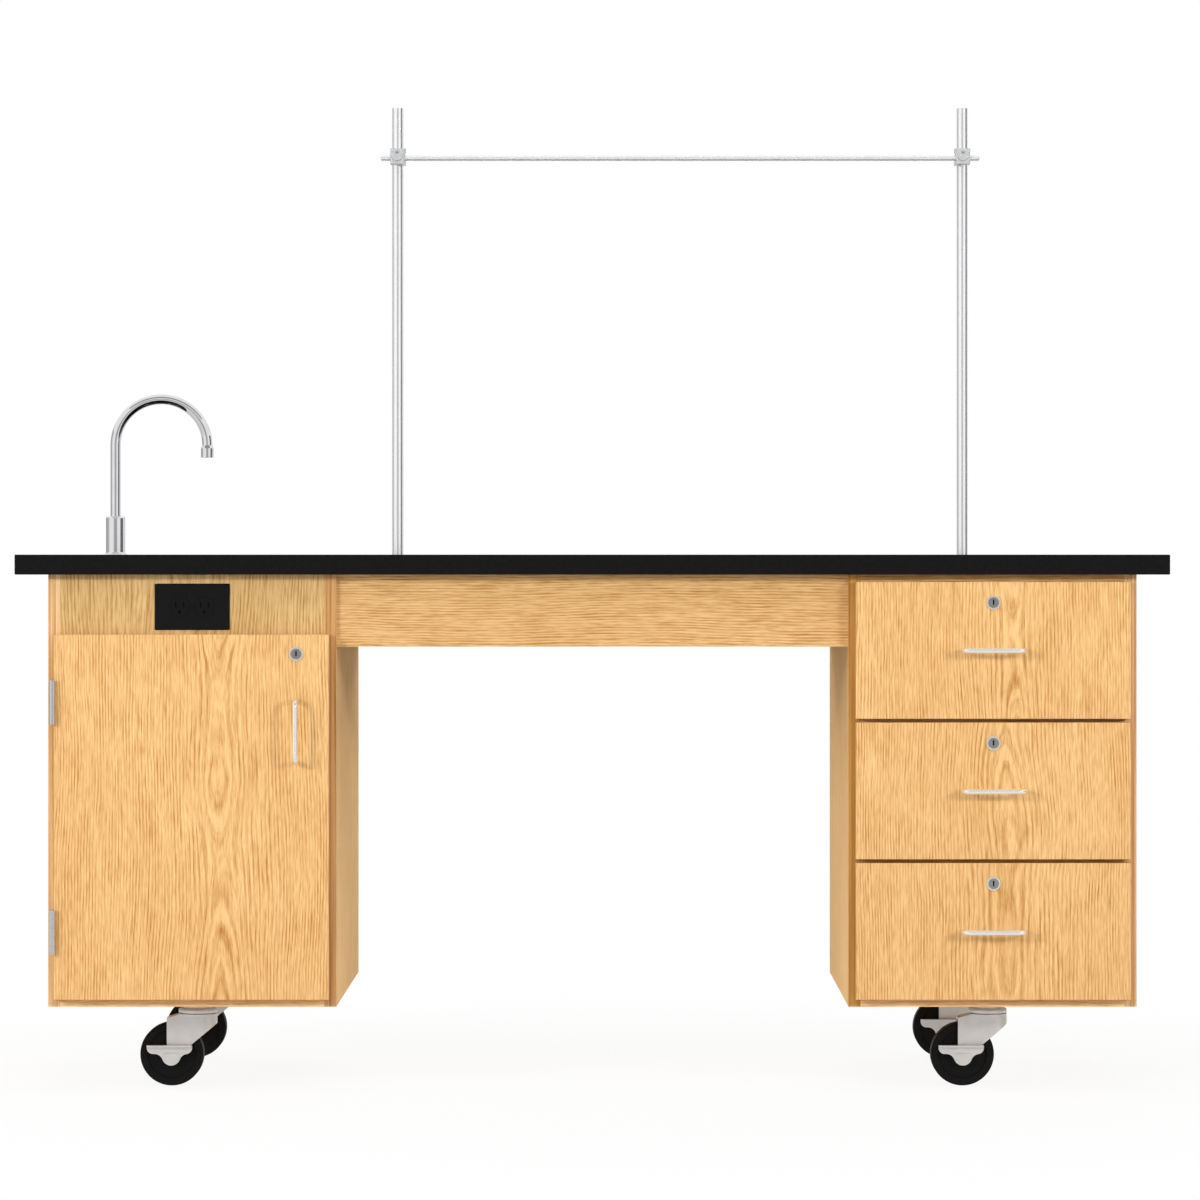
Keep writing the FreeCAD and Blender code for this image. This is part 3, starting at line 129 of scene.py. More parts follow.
# %% [markdown]
# The studio is plain: a white floor, a white surround and square soft lamps. The key and the fill
# lamp stand left and right of the camera and are small and nearly equal, so each pull throws a
# loop of shadow to both sides, as in the photograph. Two weak lamps near the camera even out the
# fronts. Wide lamps further out light the sides, and one overhead lets the top shade the wood
# below it. The lamps behind reach the inner sides of the knee space and the back. Mirrors don't
# see any lamp: what metal shows is set by the cards of a later step.

# %% Lamps
def lamp(name, place, target, size, power):
    """A square soft lamp that faces a point."""
    light = bpy.data.lights.new(name, "AREA")
    light.shape = "SQUARE"
    light.size = size
    light.energy = power
    made = put(name, light)
    made.location = place
    made.rotation_euler = (Vector(target) - Vector(place)).to_track_quat("-Z", "Y").to_euler()
    made.visible_glossy = False


# name, place, the point it faces, width in metres, power in watts
LAMPS = (("key_lamp", (-4.4, -4.6, 2.3), (0, 0, 0.6), 0.9, 124),
         ("fill_lamp", (4.4, -4.6, 2.1), (0, 0, 0.5), 0.9, 117),
         ("top_lamp", (0, -1.4, 4.2), (0, 0.1, 0), 3.0, 58),
         ("near_left_lamp", (-2.2, -8.0, 3.2), (0, 0, 0.5), 0.8, 20),
         ("near_right_lamp", (2.2, -8.0, 3.2), (0, 0, 0.5), 0.8, 20),
         ("left_lamp", (-5.2, -3.4, 1.6), (0, 0, 0.5), 2.0, 60),
         ("right_lamp", (5.2, -3.4, 1.6), (0, 0, 0.5), 2.0, 25),
         ("behind_left_lamp", (-3.5, 3.5, 1.2), (0.3, 0, 0.4), 1.6, 86),
         ("behind_right_lamp", (3.5, 3.5, 1.2), (-0.3, 0, 0.4), 1.6, 14),
         ("back_lamp", (0.5, 5.0, 3.0), (0, 0, 0.6), 3.0, 110))
for row in LAMPS:
    lamp(*row)
print("lamps and their watts:", {row[0]: row[-1] for row in LAMPS})

# %% [markdown]
# The surround is the world. To the camera and to mirrors it is pure white. To dull surfaces it
# gives a third of that, or its light from all sides would wash the wood out.

# %% Surround
world = bpy.data.worlds.new("white_surround")
bpy.context.scene.world = world
sky = bare_tree(world)
ray = add(sky, "ShaderNodeLightPath")
mirror = add(sky, "ShaderNodeMath", {"operation": "MAXIMUM"},
             {0: ray.outputs["Is Glossy Ray"], 1: ray.outputs["Is Transmission Ray"]})
seen = add(sky, "ShaderNodeMath", {"operation": "MAXIMUM"},
           {0: ray.outputs["Is Camera Ray"], 1: mirror})
level = add(sky, "ShaderNodeMapRange", None, {"Value": seen, "To Min": 0.35, "To Max": 1.0})
surround = add(sky, "ShaderNodeBackground", None, {"Color": WHITE, "Strength": level})
add(sky, "ShaderNodeOutputWorld", None, {"Surface": surround})
bpy.context.scene.view_settings.view_transform = "Standard"
print("surround:", world.name)

# %% [markdown]
# The floor is one large sheet. To the camera most of its white comes from its own glow, so the
# picture stays as clean as the photograph, and the rest is dull white paint that still takes the
# shadow of the station. The share of glow grows to one further out, so no edge shows against the
# surround. Mirrors see the glow a little greyer, so bright rods keep their outline from above. To
# the wood the floor is a mid grey, or it would light the undersides too much.

# %% Floor
FAR = 30
sheet = bpy.data.meshes.new("studio_floor")
sheet.from_pydata([(-FAR, -FAR, 0), (FAR, -FAR, 0), (FAR, FAR, 0), (-FAR, FAR, 0)], [], [(0, 1, 2, 3)])
floor = put("studio_floor", sheet)
floor_paint = bpy.data.materials.new("matt_white_floor")
tree = bare_tree(floor_paint)
ray = add(tree, "ShaderNodeLightPath")
seen = add(tree, "ShaderNodeMath", {"operation": "MAXIMUM"},
           {0: ray.outputs["Is Camera Ray"], 1: ray.outputs["Is Glossy Ray"]})
paint = add(tree, "ShaderNodeMapRange", None, {"Value": seen, "To Min": 0.68, "To Max": 0.9})
dull = add(tree, "ShaderNodeBsdfDiffuse", None, {"Color": paint})
shown = add(tree, "ShaderNodeMapRange", None,
            {"Value": ray.outputs["Is Glossy Ray"], "To Min": 1.0, "To Max": 0.78})
glow = add(tree, "ShaderNodeEmission", None, {"Color": WHITE, "Strength": shown})
# the glow's share is 0.9 below the station and grows to one at 2.2 m from its middle
spot = add(tree, "ShaderNodeTexCoord")
reach = add(tree, "ShaderNodeVectorMath", {"operation": "LENGTH"}, {0: spot.outputs["Object"]})
clean = add(tree, "ShaderNodeMapRange", {"interpolation_type": "SMOOTHSTEP"},
            {"Value": reach, "From Min": 0.9, "From Max": 2.2, "To Min": 0.9, "To Max": 1.0})
share = add(tree, "ShaderNodeMath", {"operation": "MULTIPLY"}, {0: seen, 1: clean})
mixed = add(tree, "ShaderNodeMixShader", None, {0: share, 1: dull, 2: glow})
add(tree, "ShaderNodeOutputMaterial", None, {"Surface": mixed})
sheet.materials.append(floor_paint)
print("floor:", [round(x) for x in floor.dimensions])

# %% [markdown]
# Bright metal shows what stands around it, and a bare white studio would leave it without form. A
# product photographer hangs grey cards around the piece, which only show as soft stripes in its
# curves. Here one curtain with soft changes of grey stands around the piece: grey behind the
# camera, lighter on the left, dark on the right, and grey again behind the piece for the views
# from the back. A last card hangs in front under the ceiling. Only mirrors see them: they give no
# light and throw no shadow.

# %% Cards for the metal
def card(name, corners, tones):
    """A card made of quads side by side, whose grey changes smoothly from column to column."""
    mesh = bpy.data.meshes.new(name)
    count = len(corners) // 2
    mesh.from_pydata(corners, [], [(i, i + 1, i + 1 + count, i + count) for i in range(count - 1)])
    mesh.attributes.new("tone", "FLOAT", "POINT").data.foreach_set("value", list(tones) * 2)
    paint = bpy.data.materials.new(name)
    tree = bare_tree(paint)
    painted = add(tree, "ShaderNodeAttribute", {"attribute_name": "tone"})
    light = add(tree, "ShaderNodeEmission", None, {"Color": painted.outputs["Fac"], "Strength": 1.0})
    add(tree, "ShaderNodeOutputMaterial", None, {"Surface": light})
    mesh.materials.append(paint)
    made = put(name, mesh)
    made.visible_camera = False
    made.visible_diffuse = False
    made.visible_shadow = False
    made.visible_transmission = False
    print(name, "columns:", count)


# azimuth in degrees and grey: zero is behind the camera, 90 on the right
CURTAIN_GREYS = ((-156, 1.0), (-140, 0.36), (-84, 0.58), (-70, 1.0),
                 (-27, 1.0), (-11, 0.44), (13, 0.44), (29, 1.0),
                 (60, 1.0), (72, 0.13), (106, 0.13), (124, 1.0),
                 (146, 1.0), (160, 0.4), (190, 0.4), (204, 1.0))
CURTAIN_RADIUS, CURTAIN_FOOT, CURTAIN_TOP = 9.6, 0.02, 3.4
around = [(math.sin(math.radians(a)) * CURTAIN_RADIUS, -math.cos(math.radians(a)) * CURTAIN_RADIUS)
          for a, _ in CURTAIN_GREYS]
card("card_curtain", [(x, y, z) for z in (CURTAIN_FOOT, CURTAIN_TOP) for x, y in around],
     [grey for _, grey in CURTAIN_GREYS])
CEILING_HEIGHT, CEILING_HALF = 5.4, 5
card("card_ceiling", [(x, y, CEILING_HEIGHT) for x in (-CEILING_HALF, CEILING_HALF)
                      for y in (-8.6, -7.0, -2.6, -1.6)], (1.0, 0.36, 0.36, 1.0))

# %% [markdown]
# The wood is oak veneer under a clear satin lacquer. Veneer is a thin slice of a log, so its lines
# are growth rings cut lengthwise: nearly straight and close together at the sides, with pointed
# arches where the slice passes the heart. A picture of wood would be simpler, but it would stretch
# on the edges. Here the shader measures how far each point lies from the heart of an imagined log,
# and reads its lines along that distance, so every line follows the rings.

# %% Distance from the heart of the log
RING_WIDTH = 4.6 * MM


def from_heart(tree, log, arch):
    """A point of the log, bent as the wood grew, and its distance from the heart."""
    # the heart wanders in depth along the board, which draws the pointed arches
    slow = add(tree, "ShaderNodeMapping", None, {"Vector": log, "Scale": (4.0, 4.0, 2.6)})
    wander = add(tree, "ShaderNodeTexNoise", None, {"Vector": slow, "Scale": 1.0, "Detail": 1.0})
    bent = add(tree, "ShaderNodeVectorMath", {"operation": "MULTIPLY_ADD"},
               {0: wander.outputs["Color"], 1: (0.03, arch, 0), 2: log})
    # each line wavers by about 2 mm over a hand's width
    near = add(tree, "ShaderNodeMapping", None, {"Vector": log, "Scale": (34, 34, 10)})
    waver = add(tree, "ShaderNodeTexNoise", None, {"Vector": near, "Scale": 1.0, "Detail": 2.0})
    wavy = add(tree, "ShaderNodeVectorMath", {"operation": "MULTIPLY_ADD"},
               {0: waver.outputs["Color"], 1: (0.0045, 0.0045, 0), 2: bent})
    flat = add(tree, "ShaderNodeVectorMath", {"operation": "MULTIPLY"}, {0: wavy, 1: (1, 1, 0)})
    reach = add(tree, "ShaderNodeVectorMath", {"operation": "LENGTH"}, {0: flat})
    return wavy, reach


print("a ring of the log is", RING_WIDTH / MM, "mm wide")

# %% [markdown]
# Three things make the dark lines of oak: short strokes of open pores, which the eye sees first,
# plain rings that show between them here and there, and fine fibres over all of it. They could be
# one noise, but then the lines would be either all smooth or all broken.

# %% Lines of the grain
STROKES_PER_RING = 3.4


def grain(tree, log, reach, grown):
    """How dark the grain is, from 0 to 1."""
    along = add(tree, "ShaderNodeSeparateXYZ", None, {"Vector": log})
    # a plain ring every few millimetres
    count = add(tree, "ShaderNodeMath", {"operation": "MULTIPLY"},
                {0: reach, 1: 2 * math.pi / RING_WIDTH})
    wave = add(tree, "ShaderNodeMath", {"operation": "SINE"}, {0: count})
    even = add(tree, "ShaderNodeMapRange", None, {"Value": wave, "From Min": -0.5, "From Max": 1.0})
    # strokes of pores that follow the rings, over 1 mm wide and about 80 mm long
    on_ring = add(tree, "ShaderNodeCombineXYZ", None, {"X": reach, "Y": 0.0, "Z": along.outputs["Z"]})
    stroke_at = add(tree, "ShaderNodeMapping", None,
                    {"Vector": on_ring, "Scale": (STROKES_PER_RING / RING_WIDTH, 1, 12)})
    stroke = add(tree, "ShaderNodeTexNoise", None,
                 {"Vector": stroke_at, "Scale": 1.0, "Detail": 2.0, "Roughness": 0.6})
    lines = add(tree, "ShaderNodeMapRange", {"interpolation_type": "SMOOTHSTEP"},
                {"Value": stroke, "From Min": 0.40, "From Max": 0.70})
    # the plain rings only show in patches
    patch_at = add(tree, "ShaderNodeMapping", None, {"Vector": log, "Scale": (60, 60, 12)})
    patch = add(tree, "ShaderNodeTexNoise", None, {"Vector": patch_at, "Scale": 1.0, "Detail": 1.0})
    fade = add(tree, "ShaderNodeMapRange", None,
               {"Value": patch, "From Min": 0.35, "From Max": 0.68, "To Min": 0.12, "To Max": 0.55})
    rings = add(tree, "ShaderNodeMath", {"operation": "MULTIPLY"}, {0: even, 1: fade})
    both = add(tree, "ShaderNodeMath", {"operation": "MULTIPLY_ADD"}, {0: lines, 1: 0.42, 2: rings})
    # fibres are under a millimetre wide; here 2 mm, so that they show
    fibre_at = add(tree, "ShaderNodeMapping", None, {"Vector": grown, "Scale": (480, 480, 45)})
    fibre = add(tree, "ShaderNodeTexNoise", None, {"Vector": fibre_at, "Scale": 1.0, "Detail": 2.0})
    depth = add(tree, "ShaderNodeMath", {"operation": "MULTIPLY_ADD"}, {0: fibre, 1: 1.15, 2: -0.49})
    return add(tree, "ShaderNodeMath", {"operation": "ADD", "use_clamp": True}, {0: both, 1: depth})


print("a stroke of pores is", round(RING_WIDTH / MM / STROKES_PER_RING, 1), "mm wide")

# %% [markdown]
# The wood's colour runs from the pale fibre to the deep line. Near the heart lie a few brown
# curls, where small branches began, and whole areas are a little redder or paler than others. The
# case sides also show their front edges, a strip of solid oak with straight streaks. Open pores
# take less lacquer, so the deep lines are a little rougher and lie a little lower.

# %% Oak
KNEE_LIMIT = 0.6


def oak(name, heart, turn=(0, 0, 0), squeeze=(1, 1, 1), arch=0.07, curls=0.5,
        pale=PALE_OAK, deep=DEEP_OAK, edge_tone_and_shade=None, shine=0.12, satin=0.0):
    """Oak veneer cut from a log whose heart lies at a point and runs along the turned Z."""
    made, tree, shader = material(name, {"IOR": 1.5, "Specular IOR Level": shine, "Roughness": 0.5,
                                         "Sheen Weight": satin, "Sheen Roughness": 0.3,
                                         "Sheen Tint": colour("#f6cd8c")})
    place = add(tree, "ShaderNodeTexCoord")
    log = add(tree, "ShaderNodeMapping", {"vector_type": "TEXTURE"},
              {"Vector": place.outputs["Object"], "Location": heart, "Rotation": turn,
               "Scale": squeeze})
    grown = add(tree, "ShaderNodeMapping", {"vector_type": "TEXTURE"},
                {"Vector": place.outputs["Object"], "Rotation": turn})
    wavy, reach = from_heart(tree, log, arch)
    figure = grain(tree, log, reach, grown)
    if edge_tone_and_shade:
        # the faces that look to the front are board edges, with streaks 4 mm wide along the board
        side = add(tree, "ShaderNodeSeparateXYZ", None, {"Vector": place.outputs["Normal"]})
        front = add(tree, "ShaderNodeMath", {"operation": "LESS_THAN"},
                    {0: side.outputs["Y"], 1: -0.9})
        streak_at = add(tree, "ShaderNodeMapping", None, {"Vector": grown, "Scale": (260, 260, 3)})
        streak = add(tree, "ShaderNodeTexNoise", None,
                     {"Vector": streak_at, "Scale": 1.0, "Detail": 3.0})
        streaks = add(tree, "ShaderNodeMapRange", None,
                      {"Value": streak, "From Min": 0.3, "From Max": 0.75})
        figure = add(tree, "ShaderNodeMix", {"data_type": "FLOAT"},
                     {"Factor": front, "A": figure, "B": streaks})
    wood = add(tree, "ShaderNodeMix", {"data_type": "RGBA"},
               {"Factor": figure, "A": colour(pale), "B": colour(deep)})
    # brown curls 12 mm wide fade out between 30 and 60 mm from the heart
    curl_at = add(tree, "ShaderNodeMapping", None, {"Vector": wavy, "Scale": (85, 85, 38)})
    curl = add(tree, "ShaderNodeTexNoise", None,
               {"Vector": curl_at, "Scale": 1.0, "Detail": 2.0, "Distortion": 1.2})
    spots = add(tree, "ShaderNodeMapRange", {"interpolation_type": "SMOOTHSTEP"},
                {"Value": curl, "From Min": 0.6, "From Max": 0.78})
    belt = add(tree, "ShaderNodeMapRange", {"interpolation_type": "SMOOTHSTEP"},
               {"Value": reach, "From Min": 0.03, "From Max": 0.06, "To Min": curls, "To Max": 0.0})
    brown = add(tree, "ShaderNodeMath", {"operation": "MULTIPLY"}, {0: spots, 1: belt})
    toned = add(tree, "ShaderNodeMix", {"data_type": "RGBA"},
                {"Factor": brown, "A": wood, "B": colour("#b87733")})
    # areas as wide as a hand are a little redder
    tone_at = add(tree, "ShaderNodeMapping", None, {"Vector": log, "Scale": (9, 9, 3)})
    tone = add(tree, "ShaderNodeTexNoise", None, {"Vector": tone_at, "Scale": 1.0, "Detail": 2.0})
    warm = add(tree, "ShaderNodeMapRange", None,
               {"Value": tone, "From Min": 0.35, "From Max": 0.7, "To Min": 0.0, "To Max": 0.16})
    toned = add(tree, "ShaderNodeMix", {"data_type": "RGBA"},
                {"Factor": warm, "A": toned, "B": colour(deep)})
    if edge_tone_and_shade:
        # front edges of the boards beside the knee space: browner, partly their own oak and
        # partly painted shade cast by the door and drawer fronts
        spot = add(tree, "ShaderNodeSeparateXYZ", None, {"Vector": place.outputs["Object"]})
        away = add(tree, "ShaderNodeMath", {"operation": "ABSOLUTE"}, {0: spot.outputs["X"]})
        inner_edge_tone_and_shade = add(tree, "ShaderNodeMath", {"operation": "LESS_THAN"}, {0: away, 1: KNEE_LIMIT})
        inner_edge_tone_and_shade = add(tree, "ShaderNodeMath", {"operation": "MULTIPLY"}, {0: inner_edge_tone_and_shade, 1: front})
        toned = add(tree, "ShaderNodeMix", {"data_type": "RGBA", "blend_type": "MULTIPLY"},
                    {"Factor": inner_edge_tone_and_shade, "A": toned, "B": colour(edge_tone_and_shade)})
    gloss = add(tree, "ShaderNodeMapRange", None, {"Value": figure, "To Min": 0.44, "To Max": 0.58})
    relief = add(tree, "ShaderNodeBump", None,
                 {"Strength": 0.3, "Distance": 0.2 * MM, "Height": figure})
    wire(tree, shader, {"Base Color": toned, "Roughness": gloss, "Normal": relief})
    return made


print("boards beside the knee space lie within", KNEE_LIMIT, "m of the middle")

# %% [markdown]
# Each board gets its own place in a log. The heart lies just in front of the door and the drawer
# fronts, so pointed arches climb their middles; the three fronts read one log at different
# heights, so they are alike but not equal. The panel lies far from its heart and stays quiet. The
# aprons, rails and bottoms have their grain across. The case sides are mostly seen at a slant,
# where the real lacquer shines softly; a satin sheen gives them that.

# %% Oak boards
ACROSS = (0, math.radians(90), 0)
FRONT_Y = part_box("door_panel")[0].y
HEART_Y = FRONT_Y - 0.005
DOOR_X, DRAWER_X = -0.57, 0.68
# pale honey oak with tall arches up the door
door_oak = oak("oak_veneer_door", (DOOR_X, HEART_Y, 0.3))
# a quiet strip beside the outlet, darker and greyer: painted shade from the top above it
panel_oak_painted_shade = oak("oak_veneer_panel_painted_shade", (-0.640, FRONT_Y + 0.16, 2.1), curls=0.0,
                pale="#dfbc83", deep="#a87739")
# one arch figure that runs on from drawer to drawer
front_oak = [oak("oak_veneer_drawer_%d" % n, (DRAWER_X, HEART_Y, 3.0 + shift))
             for n, shift in ((1, 0.0), (2, 0.55), (3, 1.1))]
# straight lines and a soft shine on the sides, with browner inner front edges: partly the
# edge oak's own tone, partly painted shade cast by the door and drawers
side_oak = oak("oak_veneer_sides", (-0.62, 0.05, 5.2), squeeze=(9, 1, 1), edge_tone_and_shade="#e9dcce",
               shine=0.02, satin=0.85, pale="#f6ce98", deep="#b98650")
side_oak_right = oak("oak_veneer_sides_right", (0.62, 0.02, 7.1), squeeze=(9, 1, 1), edge_tone_and_shade="#e4d3a6",
                     shine=0.02, satin=0.85, pale="#f6ce98", deep="#b98650")
# broad, calm arches over the whole back
back_oak = oak("oak_veneer_backs", (0.1, 0.42, 8.4), squeeze=(1.4, 1, 1))
# long level lines that tie the two cases together, a little darker: painted shade from the top
cross_oak_painted_shade = oak("oak_veneer_cross_grain_painted_shade", (0.3, -0.30, 0.5), turn=ACROSS, arch=0.03, curls=0.0,
                shine=0.05, pale="#ecc288", deep="#b1793a")
# the same boards, painted paler: painted light that lifts the shade under the fronts
bottom_oak_painted_light = oak("oak_veneer_bottoms_painted_light", (0.3, -0.30, -0.35), turn=ACROSS, arch=0.03, curls=0.0,
                 shine=0.05, pale="#ffd599", deep="#cf934d")
print("drawer oaks:", [made.name for made in front_oak])

# %% [markdown]
# Other finishes are simpler, but none is one flat value. Each gets the unevenness of how it was
# made: poured resin has a faint mottle, castings a grain, brushed metal its scratches, and plated
# sheet a soft spangle. One function makes them all: a noise with grains of a real size changes
# the colour and the gloss a little, and for some the height. Stretched, the grains are scratches.

# %% One function for the plain finishes
def mottled(name, surface, tones, size, relief=0.0, stretch=(1, 1, 1), rough=(0.4, 0.5)):
    """A finish whose colour, gloss and relief follow one noise with grains of a size in mm."""
    made, tree, shader = material(name, surface)
    place = add(tree, "ShaderNodeTexCoord")
    at = add(tree, "ShaderNodeMapping", None, {"Vector": place.outputs["Object"], "Scale": stretch})
    noise = add(tree, "ShaderNodeTexNoise", None,
                {"Vector": at, "Scale": 1 / (size * MM), "Detail": 3.0})
    even = add(tree, "ShaderNodeMapRange", None, {"Value": noise, "From Min": 0.3, "From Max": 0.7})
    tint = add(tree, "ShaderNodeMix", {"data_type": "RGBA"},
               {"Factor": even, "A": colour(tones[0]), "B": colour(tones[1])})
    gloss = add(tree, "ShaderNodeMapRange", None,
                {"Value": even, "To Min": rough[0], "To Max": rough[1]})
    wire(tree, shader, {"Base Color": tint, "Roughness": gloss})
    if relief:
        bump = add(tree, "ShaderNodeBump", None,
                   {"Strength": 0.6, "Distance": relief * MM, "Height": noise})
        wire(tree, shader, {"Normal": bump})
    return made


METAL = {"Metallic": 1.0}
MOULDED = {"IOR": 1.5}
MATT_MOULDED = {"IOR": 1.5, "Specular IOR Level": 0.12}
MATT_RESIN = {"IOR": 1.5, "Specular IOR Level": 0.1}
print("surfaces:", METAL, MOULDED, MATT_MOULDED, MATT_RESIN)

# %% [markdown]
# The blacks and the other moulded and poured surfaces have no metal in them. They differ in how
# much they shine: the top and the wheels hardly do, the sink and the hoses a little. Real grains
# and scratches are mostly finer than a tenth of a millimetre. Here and on the metals they are
# drawn between 0.5 and 3 mm wide, so that they show at all.

# %% Resin, rubber, plastic and paint
# poured and sanded: a deep matt black with a faint mottle
resin = mottled("black_epoxy_resin", MATT_RESIN, ("#0d0d0e", "#131314"), 6.0, 0.05,
                rough=(0.38, 0.52))
# cast in a mould: a little greyer and softly pebbled
sink_resin = mottled("black_moulded_sink", MOULDED, ("#1a1a1b", "#242425"), 3.0, 0.06,
                     rough=(0.4, 0.55))
# hard moulded rubber: nearly no shine, worn a little unevenly
tyre = mottled("moulded_black_wheel", MATT_MOULDED, ("#0e0d0d", "#141313"), 2.5, 0.05,
               rough=(0.48, 0.62))
# baked powder coat on the runners: a warm white with a fine orange peel
coated = mottled("white_epoxy_coat", MOULDED, ("#e9e8e4", "#dedcd7"), 2.0, 0.03, rough=(0.35, 0.45))
# thin sanded birch: pale cream with short streaks
ply = mottled("birch_plywood", MOULDED, ("#ecd9b4", "#d8bd8f"), 3.0, 0.03, stretch=(1, 0.08, 1),
              rough=(0.45, 0.6))
# blow-moulded can: milky and slightly see-through, so light softens in it
can = mottled("natural_polyethylene", {"IOR": 1.5, "Subsurface Weight": 0.15},
              ("#e9eeee", "#e2e8e9"), 45.0, 0.02, rough=(0.38, 0.5))
# extruded hose: a dull blue-black
rubber = mottled("black_hose", MOULDED, ("#26272a", "#1b1c1e"), 2.0, 0.03, rough=(0.5, 0.65))
# moulded cover plate: a smooth, even black
plate_black = mottled("black_moulded_plate", MATT_MOULDED, ("#0e0e0e", "#131314"), 0.8, 0.02,
                      rough=(0.3, 0.4))
# the receptacle in it: the same black, a trace duller, so its faces only just show
outlet_black = mottled("black_moulded_outlet", MATT_MOULDED, ("#0d0d0d", "#121212"), 0.8, 0.02,
                       rough=(0.35, 0.5))
# painted shade: the inside of a lock, black as a hole that light hardly leaves
keyway_painted_shade = mottled("shadow_of_a_keyway_shade", MATT_RESIN, ("#0b0b0b", "#121211"), 0.5, rough=(0.6, 0.7))
# tough nylon: a dark grey with a soft shine
black_nylon = mottled("black_moulded_nylon", MOULDED, ("#1b1b1c", "#232324"), 1.0, 0.02,
                      rough=(0.4, 0.55))
print("the top is", resin.name, "and the wheels are", tyre.name)

# %% [markdown]
# The metals differ in how they were finished. Plating is a mirror, grinding and drawing leave fine
# lines, blasting leaves a dull grain. In the photograph the thin bright pieces look lighter than a
# true mirror would in a white room, so those are given a little less metal and more paint-like
# white, which holds their outline against the surround.

# %% Metals
# polished and plated: a mirror with hardly any haze
chrome = mottled("bright_chrome_plate", METAL, ("#e4e4e6", "#dcdcde"), 30.0, rough=(0.05, 0.10))
# ground along their length: bright rods with a narrow dark edge
rod_steel = mottled("ground_steel_rod", {"Metallic": 0.8}, ("#f9f9fa", "#f1f1f3"), 1.2,
                    stretch=(1, 1, 0.02), rough=(0.08, 0.13))
# the thin bar: softer, so it stays one pale line
bar_steel = mottled("ground_steel_bar", {"Metallic": 0.55}, ("#f1f1f2", "#e8e8ea"), 1.2,
                    stretch=(0.02, 1, 1), rough=(0.18, 0.26))
# blasted zinc casting: light grey and sugary
casting = mottled("bead_blasted_casting", {"Metallic": 0.6}, ("#dbdcde", "#cdced0"), 1.0, 0.06,
                  rough=(0.42, 0.55))
# drawn and plated wire: warm white with a soft highlight
satin_wire = mottled("satin_nickel_wire", {"Metallic": 0.8}, ("#fbf8f2", "#f5f2ea"), 1.5,
                     rough=(0.18, 0.23))
# polished screw heads: small warm sparks
nickel = mottled("polished_nickel", METAL, ("#e9e7e2", "#dedbd5"), 2.0, 0.01, rough=(0.10, 0.18))
# the locks' rims: a light warm ring around the darker plug
bezel = mottled("nickel_plated_bezel", {"Metallic": 0.8}, ("#f0ede8", "#e6e3de"), 2.0, 0.005,
                rough=(0.18, 0.26))
# brushed plug: mid grey with fine level lines
plug_face = mottled("brushed_lock_plug", METAL, ("#b4b3b1", "#a3a2a0"), 1.0, 0.01,
                    stretch=(1, 1, 0.05), rough=(0.24, 0.34))
# rolled leaves and knuckles: they show a light and a dark stripe
hinge_metal = mottled("satin_nickel_sheet", METAL, ("#d8d6d3", "#cccac7"), 0.8,
                      stretch=(1, 1, 0.04), rough=(0.10, 0.15))
# zinc on pressed steel: light, dull, with large soft spangles
zinc = mottled("zinc_plated_sheet", {"Metallic": 0.7}, ("#e2e0de", "#dad8d5"), 22.0, 0.02,
               rough=(0.34, 0.42))
# drain and sockets: a plain grey satin
stainless = mottled("satin_stainless", METAL, ("#c4c3c1", "#b3b2b0"), 0.9, 0.02, rough=(0.25, 0.38))
print("materials in all:", len(bpy.data.materials))

# %% [markdown]
# Now each solid of the frame gets its finish in its own material slot, and its shape stays as it
# was measured. Pieces that a workshop makes alike share one finish.

# %% Dress the frame's solids
finish_of = {"worktop": resin, "left_cabinet_sides": side_oak, "right_cabinet_sides": side_oak_right,
             "cabinet_bottoms": bottom_oak_painted_light, "cabinet_backs": back_oak,
             "left_cabinet_front_panel": panel_oak_painted_shade, "right_cabinet_rails": cross_oak_painted_shade,
             "knee_aprons": cross_oak_painted_shade, "sink_bowl": sink_resin, "sink_drain": stainless,
             "water_tanks": can, "water_hoses": rubber, "tap_base": chrome, "tap_spout": chrome,
             "rod_sockets": stainless, "upright_rods": rod_steel, "crossbar": bar_steel,
             "rod_clamps": casting, "clamp_screw_left": casting, "clamp_screw_right": casting,
             "outlet_plate": plate_black, "outlet_receptacle": outlet_black,
             "hinge_case_leaves": hinge_metal, "hinge_door_leaves": hinge_metal,
             "case_runners": coated, "caster_plates": zinc, "door_panel": door_oak,
             "door_pull": satin_wire, "door_lock_barrel": bezel, "door_lock_plug": plug_face}
for number in (1, 2, 3):
    for end, finish in (("front", front_oak[number - 1]), ("box", ply), ("pull", satin_wire),
                        ("lock_barrel", bezel), ("lock_plug", plug_face), ("runners", coated)):
        finish_of["drawer_%d_%s" % (number, end)] = finish
for corner in ("front_left", "back_left", "front_right", "back_right"):
    for end, finish in (("fork", zinc), ("brake", zinc), ("wheel", tyre)):
        finish_of["caster_%s_%s" % (corner, end)] = finish
for name, finish in finish_of.items():
    nodes[name].data.materials.clear()
    nodes[name].data.materials.append(finish)
print("dressed:", len(finish_of), "left:", sorted(set(nodes) - set(finish_of)))

# %% [markdown]
# Some small things repeat: the grip ribs of the tank caps, the rings of the drain hose and the
# screws of the hinges. They could be copied by hand, but a Geometry Nodes tree makes a whole row
# from a few named sizes. Each tree ends with real geometry and its finish. The result is kept as a
# plain mesh, which rides on the body that carries it.

